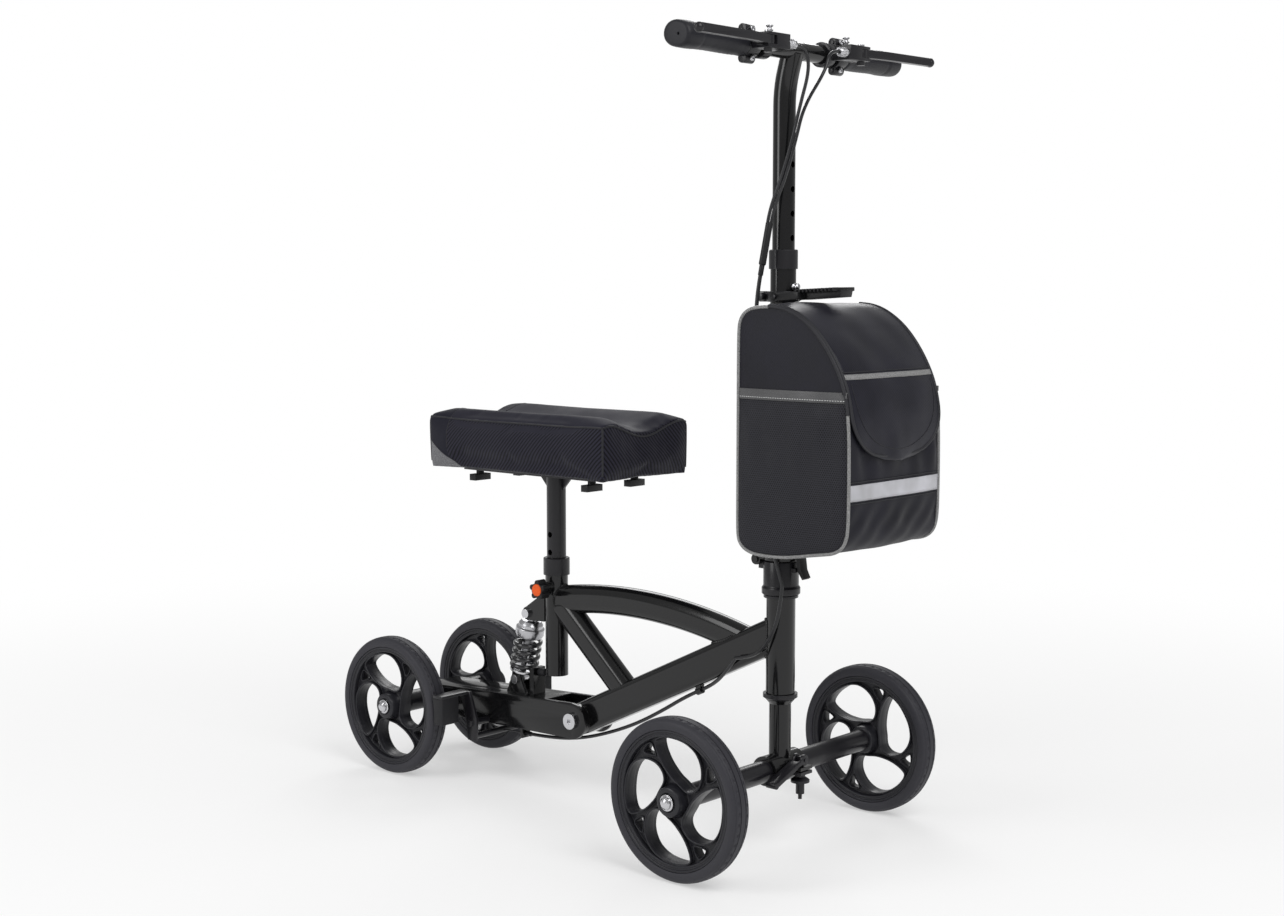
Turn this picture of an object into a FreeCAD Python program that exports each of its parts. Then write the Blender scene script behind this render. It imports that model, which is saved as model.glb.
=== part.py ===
import FreeCAD, Part
import os
from math import asin, atan2, cos, degrees, hypot, pi, radians, sin, sqrt, tan
from FreeCAD import Placement, Rotation, Vector

# Knee scooter with four wheels, a folding steering column, a sprung rear arm, a knee pad and a bag.
# +X is forward, +Y is the rider's left, +Z is up, and all sizes are in millimetres.
# Everything is drawn about the steering axis, at x = 0 with the floor at z = 0. The last section
# moves it forward, so that the origin is on the floor under the middle of the whole scooter.

# ---- driving dimensions ----------------------------------------------------------------------

# clearances
RUNNING_CLEARANCE = 0.05      # radial, shaft in a turning bore
SLIDING_CLEARANCE = 0.10      # radial, tube in a tube
SIDE_CLEARANCE = 0.3          # between faces that pass each other
LOOSE_CLEARANCE = 1.0         # radial, at the shock's lower bolt

# wheels
WHEEL_DIAMETER = 200.0
TYRE_WIDTH = 30.0
TYRE_DEPTH = 14.0
RIM_WALL = 8.0
WEB_THICKNESS = 10.0
HUB_DIAMETER = 38.0
HUB_LENGTH = 40.0
JOURNAL_DIAMETER = 12.0
WHEELBASE = 632.0
FRONT_TRACK = 400.0
REAR_TRACK = 190.0
FRONT_AXLE_DIAMETER = 28.0
REAR_AXLE_DIAMETER = 30.0

# the openings between the wheel's curved spokes, as (degrees, share of the web's radius)
LARGE_OPENING = (
    (20, 0.974), (24, 0.72), (17, 0.49), (-5, 0.325), (-45, 0.29), (-60, 0.345),
    (-63.5, 0.46), (-58, 0.615), (-47, 0.79), (-36, 0.89), (-26, 0.95), (-3, 0.98),
)
SMALL_OPENING = ((30.5, 0.74), (37, 0.76), (43.5, 0.88), (42.5, 0.95), (31, 0.95), (29.2, 0.85))

# head tube and fork
HEAD_TUBE_DIAMETER = 37.0
HEAD_TUBE_BOTTOM = 196.0
HEAD_TUBE_TOP = 319.0
HEADSET_DIAMETER = 44.0
HEADSET_CUP_HEIGHT = 14.0
STEERER_DIAMETER = 25.4
FORK_DIAMETER = 28.0
SADDLE_WALL = 5.0
SADDLE_LENGTH = 64.0
SPLIT_GAP = 2.0
CLAMP_BOLT_X = 28.0
CLAMP_BOLT_Y = 6.0
CAM_RISE = 13.0
AXLE_LEVER_LENGTH = 58.0
AXLE_LEVER_DROP = 22.0

# folding joint
FOLD_HEIGHT = 366.0
FOLD_SOCKET_DIAMETER = 45.0
FOLD_FLANGE_DIAMETER = 49.0
FOLD_FLANGE_THICKNESS = 12.0
FOLD_PIN_SETBACK = 29.0
FOLD_PIN_DIAMETER = 8.0
KNUCKLE_HEIGHT = 16.0
KNUCKLE_EAR = 6.0
LUG_HALF = 9.0
LATCH_PIVOT_X = 29.0
LATCH_PIVOT_RISE = 9.0
LATCH_LENGTH = 26.0

# steering column and handlebar
COLUMN_DIAMETER = 32.0
COLUMN_TOP = 745.0
STEM_DIAMETER = 28.0
STEM_WALL = 2.0
STEM_BOTTOM = 560.0
STEM_HOLE_DIAMETER = 8.0
STEM_HOLE_PITCH = 30.0
STEM_HOLES_ABOVE = 5
STEM_HOLES_BELOW = 1
STEM_PIN_HEIGHT = 709.0
COLLAR_WALL = 2.0
COLLAR_HEIGHT = 24.0
CLAMP_HEIGHT = 697.0
CLAMP_BAND_HEIGHT = 13.0
CLAMP_LEVER_LENGTH = 92.0
CLAMP_WALL = 4.0
CLAMP_PIVOT_X = 5.0
CLAMP_TRUNNION_DIAMETER = 6.0
HANDLEBAR_HEIGHT = 997.0
HANDLEBAR_OFFSET = 12.0
HANDLEBAR_DIAMETER = 22.2
BAR_SEAT_DIAMETER = 21.6
BARE_BAR = (18.0, 54.0)
GRIP_END_WALL = 4.0
GRIP_END_HOLE = 3.0
STEM_BEND_HEIGHT = 952.0
GRIP_START = 100.0
GRIP_END = 217.0
GRIP_DIAMETER = 34.0
GRIP_RING_LENGTH = 20.0
LEVER_PIVOT_X = 47.0
LEVER_PIVOT_Y = 95.0
LEVER_TIP_X = 58.0
LEVER_TIP_Y = 235.0
LEVER_THICKNESS = 10.0
PERCH_Y = 64.0
PARK_PIN_X = 36.0
PARK_PIN_Y = 78.0
ADJUSTER_DIAMETER = 10.0
ADJUSTER_START_Y = 62.0
ADJUSTER_END_Y = 46.0

# frame
PIVOT_SETBACK = 338.0
PIVOT_HEIGHT = 110.0
PIVOT_BOLT_DIAMETER = 12.0
PIVOT_BOSS_DIAMETER = 44.0
LOWER_TUBE_HEIGHT = 44.0
LOWER_TUBE_WIDTH = 32.0
LOWER_TUBE_CORNER = 9.0
LOWER_TUBE_RISE_AT_HEAD = 163.0
FRAME_WALL = 2.5
SEAT_SETBACK = 394.0
SEAT_TUBE_DIAMETER = 32.0
SEAT_TUBE_BOTTOM = 163.0
SEAT_TUBE_TOP = 324.0
SEAT_COLLAR_WALL = 2.5
SEAT_COLLAR_HEIGHT = 24.0
SEAT_COLLAR_TOP = 330.0
OVAL_TUBE_HEIGHT = 40.0
OVAL_TUBE_WIDTH = 28.0
ARCH_RADIUS = 750.0
ARCH_CREST_SETBACK = 255.0
ARCH_CREST_HEIGHT = 282.0
STRUT_TOP_HEIGHT = 276.0
STRUT_SLOPE = 41.7

# seat
POST_DIAMETER = 27.0
POST_WALL = 2.0
POST_BOTTOM = 245.0
POST_HOLE_DIAMETER = 8.0
POST_HOLE_PITCH = 25.0
POST_HOLES_ABOVE = 3
POST_HOLES_BELOW = 1
SEAT_KNOB_HEIGHT = 288.0
SEAT_KNOB_DIAMETER = 28.0
KNOB_BOSS_REACH = 9.0
KNOB_THICKNESS = 15.0
CAP_DIAMETER = 17.0
CAP_THICKNESS = 2.5
PAD_LENGTH = 341.0
PAD_WIDTH = 180.0
PAD_BOTTOM = 454.0
PAD_HEIGHT = 80.0
PAD_VALLEY = 15.0
PAD_PLATE_THICKNESS = 4.0
PAD_PLATE_LENGTH = 250.0
PAD_PLATE_WIDTH = 116.0
PAD_BOLT_SPACING_X = 216.0
PAD_BOLT_SPACING_Y = 86.0
PAD_BOLT_DIAMETER = 6.0

# rear arm, brake and shock
ARM_PLATE = 5.0
ARM_WIDTH = 60.0
ARM_FRONT_RADIUS = 25.0
ARM_REAR_RADIUS = 21.0
ARM_SLOT_LENGTH = 52.0
BRAKE_PIVOT_SETBACK = 505.0
BRAKE_PIVOT_HEIGHT = 86.0
BRAKE_SHAFT_DIAMETER = 10.0
BRAKE_PLATE_THICKNESS = 4.0
BRAKE_BAR_DIAMETER = 9.0
BRAKE_BAR_DROP = 20.0
BRAKE_PLATE_SPACING = 60.0
BRAKE_SHOE_GAP = 1.8
BRAKE_SHOE_BOTTOM = 89.0
BRAKE_SHOE_TOP = 127.0
BRAKE_SHOE_THICKNESS = 18.0
SHOCK_UPPER_SETBACK = 441.0
SHOCK_UPPER_HEIGHT = 246.0
SHOCK_LOWER_SETBACK = 464.0
SHOCK_LOWER_HEIGHT = 148.0
SHOCK_EYE_DIAMETER = 17.0
SHOCK_EYE_WIDTH = 15.0
SHOCK_BOLT_DIAMETER = 8.0
SHOCK_HEAD_DIAMETER = 41.0
SHOCK_SHAFT_DIAMETER = 9.0
SPRING_DIAMETER = 42.0
SPRING_WIRE = 6.5
SPRING_TURNS = 4.0
EAR_THICKNESS = 4.0
SHOCK_HEAD_START = 12.0
SHOCK_HEAD_END = 36.0
DAMPER_DIAMETER = 16.0
DAMPER_END = 62.0
LOWER_SEAT_SETBACK = 12.0
LOWER_SEAT_THICKNESS = 3.0
BUMPER_DIAMETER = 11.0
BUMPER_GAP = 5.6
BUMPER_SETOUT = 32.0
BUMPER_RISE = 33.0

# bag
BAG_BACK = 6.0
BAG_FRONT = 168.0
BAG_BOTTOM = 388.0
BAG_TOP = 686.0
BAG_WIDTH = 190.0
BAG_WALL = 3.0
BAG_CHANNEL_GAP = 6.0
BAG_CHANNEL_PLAY = 2.8
FLAP_FOLD_X = 106.0
FLAP_WIDTH = 184.0
FLAP_TIP_BOTTOM = 506.0
FLAP_TIP_RISE = 62.0
FLAP_CLEARANCE = 0.7
MOUTH_MARGIN = 9.0
MOUTH_BOTTOM = 585.0
STRAP_THICKNESS = 2.0
STRAP_WIDTH = 25.0
STRAP_HEIGHTS = (450.0, 620.0)

# brake cable
CABLE_DIAMETER = 5.0
LEVER_CABLE_DIAMETER = 4.2
BARREL_DIAMETER = 9.0
BARREL_TOP = Vector(1.0, -30.0, 788.0)
BARREL_BOTTOM = Vector(-4.0, -38.0, 735.0)
FOLD_CABLE_END = Vector(20.0, -24.0, 338.0)
STEER_CABLE_END = Vector(-55.0, -22.0, 236.0)
ABOVE_FOLD = Vector(14.0, -30.0, 372.0)
BESIDE_TUBE = Vector(-76.0, -17.0, 213.0)
CABLE_TAB_X = -458.0
CABLE_END_HEIGHT = 68.0
CABLE_END_DIAMETER = 7.0
GUIDE_SETBACK = 129.0
GUIDE_DROP = 4.0
GUIDE_SIDE = 4.0

# ---- places worked out from them -------------------------------------------------------------

WHEEL_RADIUS = WHEEL_DIAMETER / 2
RIM_RADIUS = WHEEL_RADIUS - TYRE_DEPTH
AXLE_HEIGHT = WHEEL_RADIUS
BAG_FLAP_FRONT = BAG_FRONT + FLAP_CLEARANCE + BAG_WALL
COLUMN_X = (WHEELBASE + WHEEL_RADIUS - BAG_FLAP_FRONT) / 2
FRONT_AXLE = Vector(0, 0, AXLE_HEIGHT)
REAR_AXLE = Vector(-WHEELBASE, 0, AXLE_HEIGHT)
PIVOT = Vector(-PIVOT_SETBACK, 0, PIVOT_HEIGHT)
SHOCK_UPPER = Vector(-SHOCK_UPPER_SETBACK, 0, SHOCK_UPPER_HEIGHT)
SHOCK_LOWER = Vector(-SHOCK_LOWER_SETBACK, 0, SHOCK_LOWER_HEIGHT)
SHOCK_LINE = (SHOCK_LOWER - SHOCK_UPPER).normalize()
SHOCK_LENGTH = (SHOCK_LOWER - SHOCK_UPPER).Length
FOLD_PIN = Vector(-FOLD_PIN_SETBACK, 0, FOLD_HEIGHT)
BRAKE_PIVOT = Vector(-BRAKE_PIVOT_SETBACK, 0, BRAKE_PIVOT_HEIGHT)
ARM_HALF = ARM_WIDTH / 2
ARM_INNER_HALF = ARM_HALF - ARM_PLATE
EAR_INNER = SHOCK_EYE_WIDTH / 2 + SIDE_CLEARANCE
EAR_OUTER = EAR_INNER + EAR_THICKNESS
LOWER_SEAT_START = SHOCK_LENGTH - LOWER_SEAT_SETBACK
CAM_HEIGHT = AXLE_HEIGHT + CAM_RISE
LATCH_PIVOT = Vector(LATCH_PIVOT_X, 0, FOLD_HEIGHT + LATCH_PIVOT_RISE)
CLAMP_RADIUS = COLUMN_DIAMETER / 2 + CLAMP_WALL
COLLAR_DIAMETER = COLUMN_DIAMETER + 2 * COLLAR_WALL
SEAT_COLLAR_DIAMETER = SEAT_TUBE_DIAMETER + 2 * SEAT_COLLAR_WALL
BAG_CHANNEL_WIDTH = COLUMN_DIAMETER + 2 * BAG_CHANNEL_GAP
BAG_CHANNEL_FLOOR = COLUMN_DIAMETER / 2 + BAG_CHANNEL_PLAY
CLAMP_PIVOT = Vector(CLAMP_PIVOT_X, 0, CLAMP_HEIGHT)
KNOB_FACE = SEAT_TUBE_DIAMETER / 2 + KNOB_BOSS_REACH + SIDE_CLEARANCE


# ---- plain solids ----------------------------------------------------------------------------

def rod(diameter, start, end):
    """A round bar from one point to another."""
    way = end - start
    return Part.makeCylinder(diameter / 2, way.Length, start, way)


def pipe(outer, inner, start, end):
    """A round tube from one point to another, open at both ends."""
    way = (end - start).normalize()
    return rod(outer, start, end).cut(rod(inner, start - way, end + way))


def block(x, y, z):
    """A box between two values on each axis."""
    return Part.makeBox(x[1] - x[0], y[1] - y[0], z[1] - z[0], Vector(x[0], y[0], z[0]))


def lathe(outline, centre, axis):
    """A turned solid. Its outline is a list of (radius, distance along the axis)."""
    points = [Vector(r, 0, h) for r, h in outline]
    face = Part.Face(Part.makePolygon(points + points[:1]))
    solid = face.revolve(Vector(0, 0, 0), Vector(0, 0, 1), 360)
    solid.Placement = Placement(centre, Rotation(Vector(0, 0, 1), axis))
    return solid


def plate_xz(points, y):
    """A flat plate cut to a polygon of (x, z) points, between two values of y."""
    corners = [Vector(px, y[0], pz) for px, pz in points]
    face = Part.Face(Part.makePolygon(corners + corners[:1]))
    return face.extrude(Vector(0, y[1] - y[0], 0))


def link_xz(first, first_radius, second, second_radius, y):
    """A plate with two round ends in the XZ plane, between two values of y."""
    dx = second.x - first.x
    dz = second.z - first.z
    line = atan2(dz, dx)
    lean = asin((first_radius - second_radius) / hypot(dx, dz))
    upper = line + pi / 2 - lean
    lower = line - pi / 2 + lean

    def spot(centre, radius, angle):
        return Vector(centre.x + radius * cos(angle), y[0], centre.z + radius * sin(angle))

    a = spot(first, first_radius, upper)
    b = spot(second, second_radius, upper)
    c = spot(second, second_radius, lower)
    d = spot(first, first_radius, lower)
    edges = [
        Part.LineSegment(a, b).toShape(),
        Part.Arc(b, spot(second, second_radius, line), c).toShape(),
        Part.LineSegment(c, d).toShape(),
        Part.Arc(d, spot(first, first_radius, line + pi), a).toShape(),
    ]
    return Part.Face(Part.Wire(edges)).extrude(Vector(0, y[1] - y[0], 0))


def soft_box(length, width, height, corner):
    """A bar along +X from x = 0, centred on the other axes, with its four long edges rounded."""
    solid = Part.makeBox(length, width, height, Vector(0, -width / 2, -height / 2))
    long_edges = [
        e for e in solid.Edges
        if abs(abs(e.Vertexes[0].X - e.Vertexes[1].X) - length) < 1e-6
    ]
    return solid.makeFillet(corner, long_edges)


def laid_along(solid, start, end):
    """A solid drawn along +X, turned in the XZ plane to run from start towards end."""
    slope = degrees(atan2(end.z - start.z, end.x - start.x))
    solid.Placement = Placement(start, Rotation(Vector(0, 1, 0), -slope))
    return solid


def mirrored(solid):
    """The same solid on the rider's other side."""
    return solid.mirror(Vector(0, 0, 0), Vector(0, 1, 0))


def fused(*solids):
    """One solid from several that touch or overlap."""
    whole = solids[0].fuse(list(solids[1:])).removeSplitter()
    return whole.Solids[0] if len(whole.Solids) == 1 else whole


def bent_rod(route, diameter):
    """A round bar along straight runs joined by tangent arcs, with its length and arc radii."""
    edges = []
    radii = []
    start = route[0]
    for before, corner, after in zip(route, route[1:], route[2:]):
        back = (before - corner).normalize()
        ahead = (after - corner).normalize()
        half_turn = (pi - back.getAngle(ahead)) / 2
        shorter = min((before - corner).Length, (after - corner).Length)
        trim = 0.45 * shorter
        radii.append(trim / tan(half_turn))
        enter = corner + back * trim
        leave = corner + ahead * trim
        bisector = (back + ahead).normalize()
        middle = corner + bisector * (radii[-1] / cos(half_turn) - radii[-1])
        edges.append(Part.LineSegment(start, enter).toShape())
        edges.append(Part.Arc(enter, middle, leave).toShape())
        start = leave
    edges.append(Part.LineSegment(start, route[-1]).toShape())
    path = Part.Wire(edges)
    disc = Part.Wire(Part.Circle(route[0], route[1] - route[0], diameter / 2).toShape())
    return path.makePipeShell([disc], True, True), path.Length, radii


def cable(route, diameter, name):
    """A cable held along its whole route."""
    tube, length, radii = bent_rod(route, diameter)
    expected = length * pi * diameter ** 2 / 4
    print(f"{name}: length {length:.0f}, volume {tube.Volume / expected:.4f} of expected,"
          f" smallest radius {min(radii):.0f}")
    return tube


# ---- wheels ----------------------------------------------------------------------------------

def tyre(centre):
    half = TYRE_WIDTH / 2
    outline = [
        (RIM_RADIUS, -half + 2), (RIM_RADIUS + 4, -half), (WHEEL_RADIUS - 7, -half),
        (WHEEL_RADIUS - 2, -half + 4), (WHEEL_RADIUS, -half + 10), (WHEEL_RADIUS, half - 10),
        (WHEEL_RADIUS - 2, half - 4), (WHEEL_RADIUS - 7, half), (RIM_RADIUS + 4, half),
        (RIM_RADIUS, half - 2),
    ]
    return lathe(outline, centre, Vector(0, 1, 0))


def web_opening(centre, angle, outline):
    """A hole through the web, bounded by arcs through (degrees, share of the web's radius)."""
    inside = RIM_RADIUS - RIM_WALL
    spots = []
    for turn, share in outline:
        a = radians(angle + turn)
        spots.append(centre + Vector(share * inside * cos(a), -WEB_THICKNESS, share * inside * sin(a)))
    spots.append(spots[0])
    edges = [Part.Arc(*spots[n:n + 3]).toShape() for n in range(0, len(spots) - 1, 2)]
    return Part.Face(Part.Wire(edges)).extrude(Vector(0, 2 * WEB_THICKNESS, 0))


def rim(centre):
    across = Vector(0, 1, 0)
    half_rim = TYRE_WIDTH / 2 - 2
    inside = RIM_RADIUS - RIM_WALL
    hub_radius = HUB_DIAMETER / 2
    web = pipe(2 * inside + 2, HUB_DIAMETER - 2, centre - across * (WEB_THICKNESS / 2),
               centre + across * (WEB_THICKNESS / 2))
    for quarter in range(4):
        web = web.cut(web_opening(centre, 90 * quarter, LARGE_OPENING))
        web = web.cut(web_opening(centre, 90 * quarter, SMALL_OPENING))
    ring = pipe(2 * RIM_RADIUS, 2 * inside, centre - across * half_rim, centre + across * half_rim)
    hub = rod(2 * hub_radius, centre - across * (HUB_LENGTH / 2), centre + across * (HUB_LENGTH / 2))
    bore = rod(JOURNAL_DIAMETER + 2 * RUNNING_CLEARANCE, centre - across * HUB_LENGTH,
               centre + across * HUB_LENGTH)
    return fused(ring, web, hub).cut(bore)


def axle(centre, diameter, track, half_gap):
    """A tube with a thinner journal at each end, and a thread in the end for the wheel bolt."""
    shoulder = track / 2 - HUB_LENGTH / 2 - SIDE_CLEARANCE
    tip = track / 2 + HUB_LENGTH / 2 + SIDE_CLEARANCE
    across = Vector(0, 1, 0)
    bar = rod(diameter, centre - across * shoulder, centre + across * shoulder)
    journals = rod(JOURNAL_DIAMETER, centre - across * tip, centre + across * tip)
    whole = fused(bar, journals)
    for side in (-1, 1):
        end = centre + across * (side * tip)
        whole = whole.cut(rod(2 * half_gap, end - across * (side * 12), end + across * side))
    return whole


def wheel_bolts(centre, track):
    """A washer and a domed bolt at each end of the axle."""
    tip = track / 2 + HUB_LENGTH / 2 + SIDE_CLEARANCE
    bolts = []
    for side in (-1, 1):
        outline = [(0, -10), (3, -10), (3, 0), (10, 0), (10, 1.5), (8, 2), (7.6, 4), (5.5, 6),
                   (2.5, 7), (0, 7.2)]
        bolts.append(lathe(outline, centre + Vector(0, side * tip, 0), Vector(0, side, 0)))
    return Part.makeCompound(bolts)


# ---- frame -----------------------------------------------------------------------------------

SEAT_FOOT = Vector(-SEAT_SETBACK, 0, SEAT_TUBE_BOTTOM)
LOWER_TUBE_SLOPE = LOWER_TUBE_RISE_AT_HEAD / PIVOT_SETBACK
ARCH_CENTRE = Vector(-ARCH_CREST_SETBACK, 0, ARCH_CREST_HEIGHT - ARCH_RADIUS)
STRUT_TOP = Vector(-SEAT_SETBACK, 0, STRUT_TOP_HEIGHT)


def lower_tube_underside(x):
    """The height of the lower tube's bottom face at a place along it."""
    middle = PIVOT_HEIGHT + (x + PIVOT_SETBACK) * LOWER_TUBE_SLOPE
    return middle - LOWER_TUBE_HEIGHT / 2 * sqrt(1 + LOWER_TUBE_SLOPE ** 2)


GUIDE_HEIGHT = lower_tube_underside(-GUIDE_SETBACK) - GUIDE_DROP - CABLE_DIAMETER / 2
GUIDE = Vector(-GUIDE_SETBACK, -GUIDE_SIDE, GUIDE_HEIGHT)
TUBE_WAY = Vector(1, 0, LOWER_TUBE_SLOPE).normalize()


def head_tube():
    return pipe(HEAD_TUBE_DIAMETER, HEAD_TUBE_DIAMETER - 2 * FRAME_WALL,
                Vector(0, 0, HEAD_TUBE_BOTTOM), Vector(0, 0, HEAD_TUBE_TOP))


def headset_cups():
    """The flanged bushes pressed into the head tube's two ends. The steerer turns in them."""
    outer = HEADSET_DIAMETER / 2
    seat = HEAD_TUBE_DIAMETER / 2 - FRAME_WALL
    bore = STEERER_DIAMETER / 2 + RUNNING_CLEARANCE
    flange = HEADSET_CUP_HEIGHT / 2
    low = [(bore, -flange), (outer - 3, -flange), (outer, -flange + 2), (outer, 0), (seat, 0),
           (seat, 14), (bore, 14)]
    high = [(bore, -14), (seat, -14), (seat, 0), (outer, 0), (outer, 3), (outer - 1, 4), (bore, 4)]
    return Part.makeCompound([
        lathe(low, Vector(0, 0, HEAD_TUBE_BOTTOM), Vector(0, 0, 1)),
        lathe(high, Vector(0, 0, HEAD_TUBE_TOP), Vector(0, 0, 1)),
    ])


def lower_tube_envelope():
    head = Vector(0, 0, PIVOT_HEIGHT + LOWER_TUBE_RISE_AT_HEAD)
    length = (head - PIVOT).Length
    return laid_along(soft_box(length, LOWER_TUBE_WIDTH, LOWER_TUBE_HEIGHT, LOWER_TUBE_CORNER),
                      PIVOT, head)


def lower_frame_tube():
    head = Vector(0, 0, PIVOT_HEIGHT + LOWER_TUBE_RISE_AT_HEAD)
    length = (head - PIVOT).Length
    hollow = laid_along(
        soft_box(length, LOWER_TUBE_WIDTH - 2 * FRAME_WALL, LOWER_TUBE_HEIGHT - 2 * FRAME_WALL,
                 LOWER_TUBE_CORNER - FRAME_WALL), PIVOT, head)
    across = Vector(0, ARM_INNER_HALF - SIDE_CLEARANCE, 0)
    boss = rod(PIVOT_BOSS_DIAMETER, PIVOT - across, PIVOT + across)
    bolt_hole = rod(PIVOT_BOLT_DIAMETER, PIVOT - across * 2, PIVOT + across * 2)
    head_tube_space = rod(HEAD_TUBE_DIAMETER, Vector(0, 0, HEAD_TUBE_BOTTOM - 20),
                          Vector(0, 0, HEAD_TUBE_TOP + 20))
    tube = fused(lower_tube_envelope().cut(hollow), boss).cut(bolt_hole).cut(head_tube_space)
    # the brazed guide under the tube that holds the brake cable
    ring = rod(CABLE_DIAMETER + 5, GUIDE - TUBE_WAY * 4.5, GUIDE + TUBE_WAY * 4.5)
    root = block((GUIDE.x - 4, GUIDE.x + 4), (GUIDE.y - 4, GUIDE.y + 4),
                 (GUIDE.z, GUIDE.z + GUIDE_DROP + 9))
    guide = fused(ring, root).cut(lower_tube_envelope())
    guide_bore = rod(CABLE_DIAMETER, GUIDE - TUBE_WAY * 20, GUIDE + TUBE_WAY * 20)
    return fused(tube, guide).cut(guide_bore)


def oval_face(height, width, centre, normal_turn):
    """A flat-sided oval in a plane across the tube, turned about Y by a number of degrees."""
    r = width / 2
    flat = height / 2 - r
    edges = [
        Part.LineSegment(Vector(0, r, -flat), Vector(0, r, flat)).toShape(),
        Part.Arc(Vector(0, r, flat), Vector(0, 0, height / 2), Vector(0, -r, flat)).toShape(),
        Part.LineSegment(Vector(0, -r, flat), Vector(0, -r, -flat)).toShape(),
        Part.Arc(Vector(0, -r, -flat), Vector(0, 0, -height / 2), Vector(0, r, -flat)).toShape(),
    ]
    face = Part.Face(Part.Wire(edges))
    face.Placement = Placement(centre, Rotation(Vector(0, 1, 0), normal_turn))
    return face


def arch_solid(height, width):
    """The arched tube's outside or inside: an oval turned about the centre of the arch."""
    back_turn = degrees(asin((SEAT_SETBACK - ARCH_CREST_SETBACK) / ARCH_RADIUS))
    front_turn = degrees(asin((ARCH_CREST_SETBACK - 20) / ARCH_RADIUS))
    face = oval_face(height, width, Vector(0, 0, 0), 0)
    face.Placement = Placement(Vector(0, 0, ARCH_RADIUS), Rotation())
    face.rotate(Vector(0, 0, 0), Vector(0, 1, 0), -back_turn)
    solid = face.revolve(Vector(0, 0, 0), Vector(0, 1, 0), back_turn + front_turn)
    solid.translate(ARCH_CENTRE)
    return solid


def seat_tube_space():
    return rod(SEAT_TUBE_DIAMETER, SEAT_FOOT - Vector(0, 0, 20), SEAT_FOOT + Vector(0, 0, 250))


def below_lower_tube():
    """The space under the top face line of the lower tube, where the upper tubes stop."""
    run = 60
    drop = run * LOWER_TUBE_SLOPE
    head_z = PIVOT_HEIGHT + LOWER_TUBE_RISE_AT_HEAD
    return plate_xz([
        (run, head_z + drop), (-PIVOT_SETBACK - run, PIVOT_HEIGHT - drop),
        (-PIVOT_SETBACK - run, PIVOT_HEIGHT - 300), (run, PIVOT_HEIGHT - 300),
    ], (-60, 60))


def arched_top_tube():
    outside = arch_solid(OVAL_TUBE_HEIGHT, OVAL_TUBE_WIDTH)
    inside = arch_solid(OVAL_TUBE_HEIGHT - 2 * FRAME_WALL, OVAL_TUBE_WIDTH - 2 * FRAME_WALL)
    tube = outside.cut(inside).cut(seat_tube_space()).cut(lower_tube_envelope())
    return tube.cut(below_lower_tube())


def strut_solid(height, width):
    foot = STRUT_TOP + Vector(cos(radians(STRUT_SLOPE)), 0, -sin(radians(STRUT_SLOPE))) * 230
    face = oval_face(height, width, Vector(0, 0, 0), 0)
    return laid_along(face.extrude(Vector(230, 0, 0)), STRUT_TOP, foot)


def diagonal_strut():
    outside = strut_solid(OVAL_TUBE_HEIGHT, OVAL_TUBE_WIDTH)
    inside = strut_solid(OVAL_TUBE_HEIGHT - 2 * FRAME_WALL, OVAL_TUBE_WIDTH - 2 * FRAME_WALL)
    tube = outside.cut(inside).cut(seat_tube_space())
    tube = tube.cut(arch_solid(OVAL_TUBE_HEIGHT, OVAL_TUBE_WIDTH)).cut(lower_tube_envelope())
    tube = tube.cut(below_lower_tube())
    return max(tube.Solids, key=lambda s: s.Volume)


def seat_tube():
    """The seat tube, with the nut boss of the height knob and the two ears of the shock."""
    top = Vector(-SEAT_SETBACK, 0, SEAT_TUBE_TOP)
    outside = rod(SEAT_TUBE_DIAMETER, SEAT_FOOT, top)
    radius = SEAT_TUBE_DIAMETER / 2
    knob_centre = Vector(-SEAT_SETBACK, 0, SEAT_KNOB_HEIGHT)
    boss = rod(18, knob_centre, knob_centre - Vector(0, radius + KNOB_BOSS_REACH, 0))
    parts = [outside, boss]
    back = -SEAT_SETBACK - radius + 3
    eye = SHOCK_EYE_DIAMETER / 2 + 1
    for side in (-1, 1):
        y = sorted((side * EAR_INNER, side * EAR_OUTER))
        arm = plate_xz([
            (back, SHOCK_UPPER_HEIGHT + 34), (back, SHOCK_UPPER_HEIGHT - 8),
            (SHOCK_UPPER.x, SHOCK_UPPER_HEIGHT - eye),
            (SHOCK_UPPER.x - eye * 0.8, SHOCK_UPPER_HEIGHT + eye * 0.6),
        ], y)
        round_end = rod(2 * eye, SHOCK_UPPER + Vector(0, y[0], 0), SHOCK_UPPER + Vector(0, y[1], 0))
        parts += [arm, round_end]
    solid = fused(*parts)
    bore = POST_DIAMETER + 2 * SLIDING_CLEARANCE
    solid = solid.cut(rod(bore, SEAT_FOOT - Vector(0, 0, 1), top + Vector(0, 0, 1)))
    solid = solid.cut(rod(8, knob_centre - Vector(0, 50, 0), knob_centre))
    return solid.cut(rod(SHOCK_BOLT_DIAMETER, SHOCK_UPPER - Vector(0, 30, 0),
                         SHOCK_UPPER + Vector(0, 30, 0)))


def seat_tube_collar():
    """The plastic sleeve pushed over the top of the seat tube, with a lip round the post."""
    low = SEAT_COLLAR_TOP - SEAT_COLLAR_HEIGHT
    inner = SEAT_TUBE_DIAMETER / 2
    lip = POST_DIAMETER / 2 + SIDE_CLEARANCE
    outer = SEAT_COLLAR_DIAMETER / 2
    outline = [(inner, low), (outer, low), (outer, SEAT_COLLAR_TOP - 1), (outer - 1, SEAT_COLLAR_TOP),
               (lip, SEAT_COLLAR_TOP), (lip, SEAT_TUBE_TOP), (inner, SEAT_TUBE_TOP)]
    return lathe(outline, Vector(-SEAT_SETBACK, 0, 0), Vector(0, 0, 1))


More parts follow.
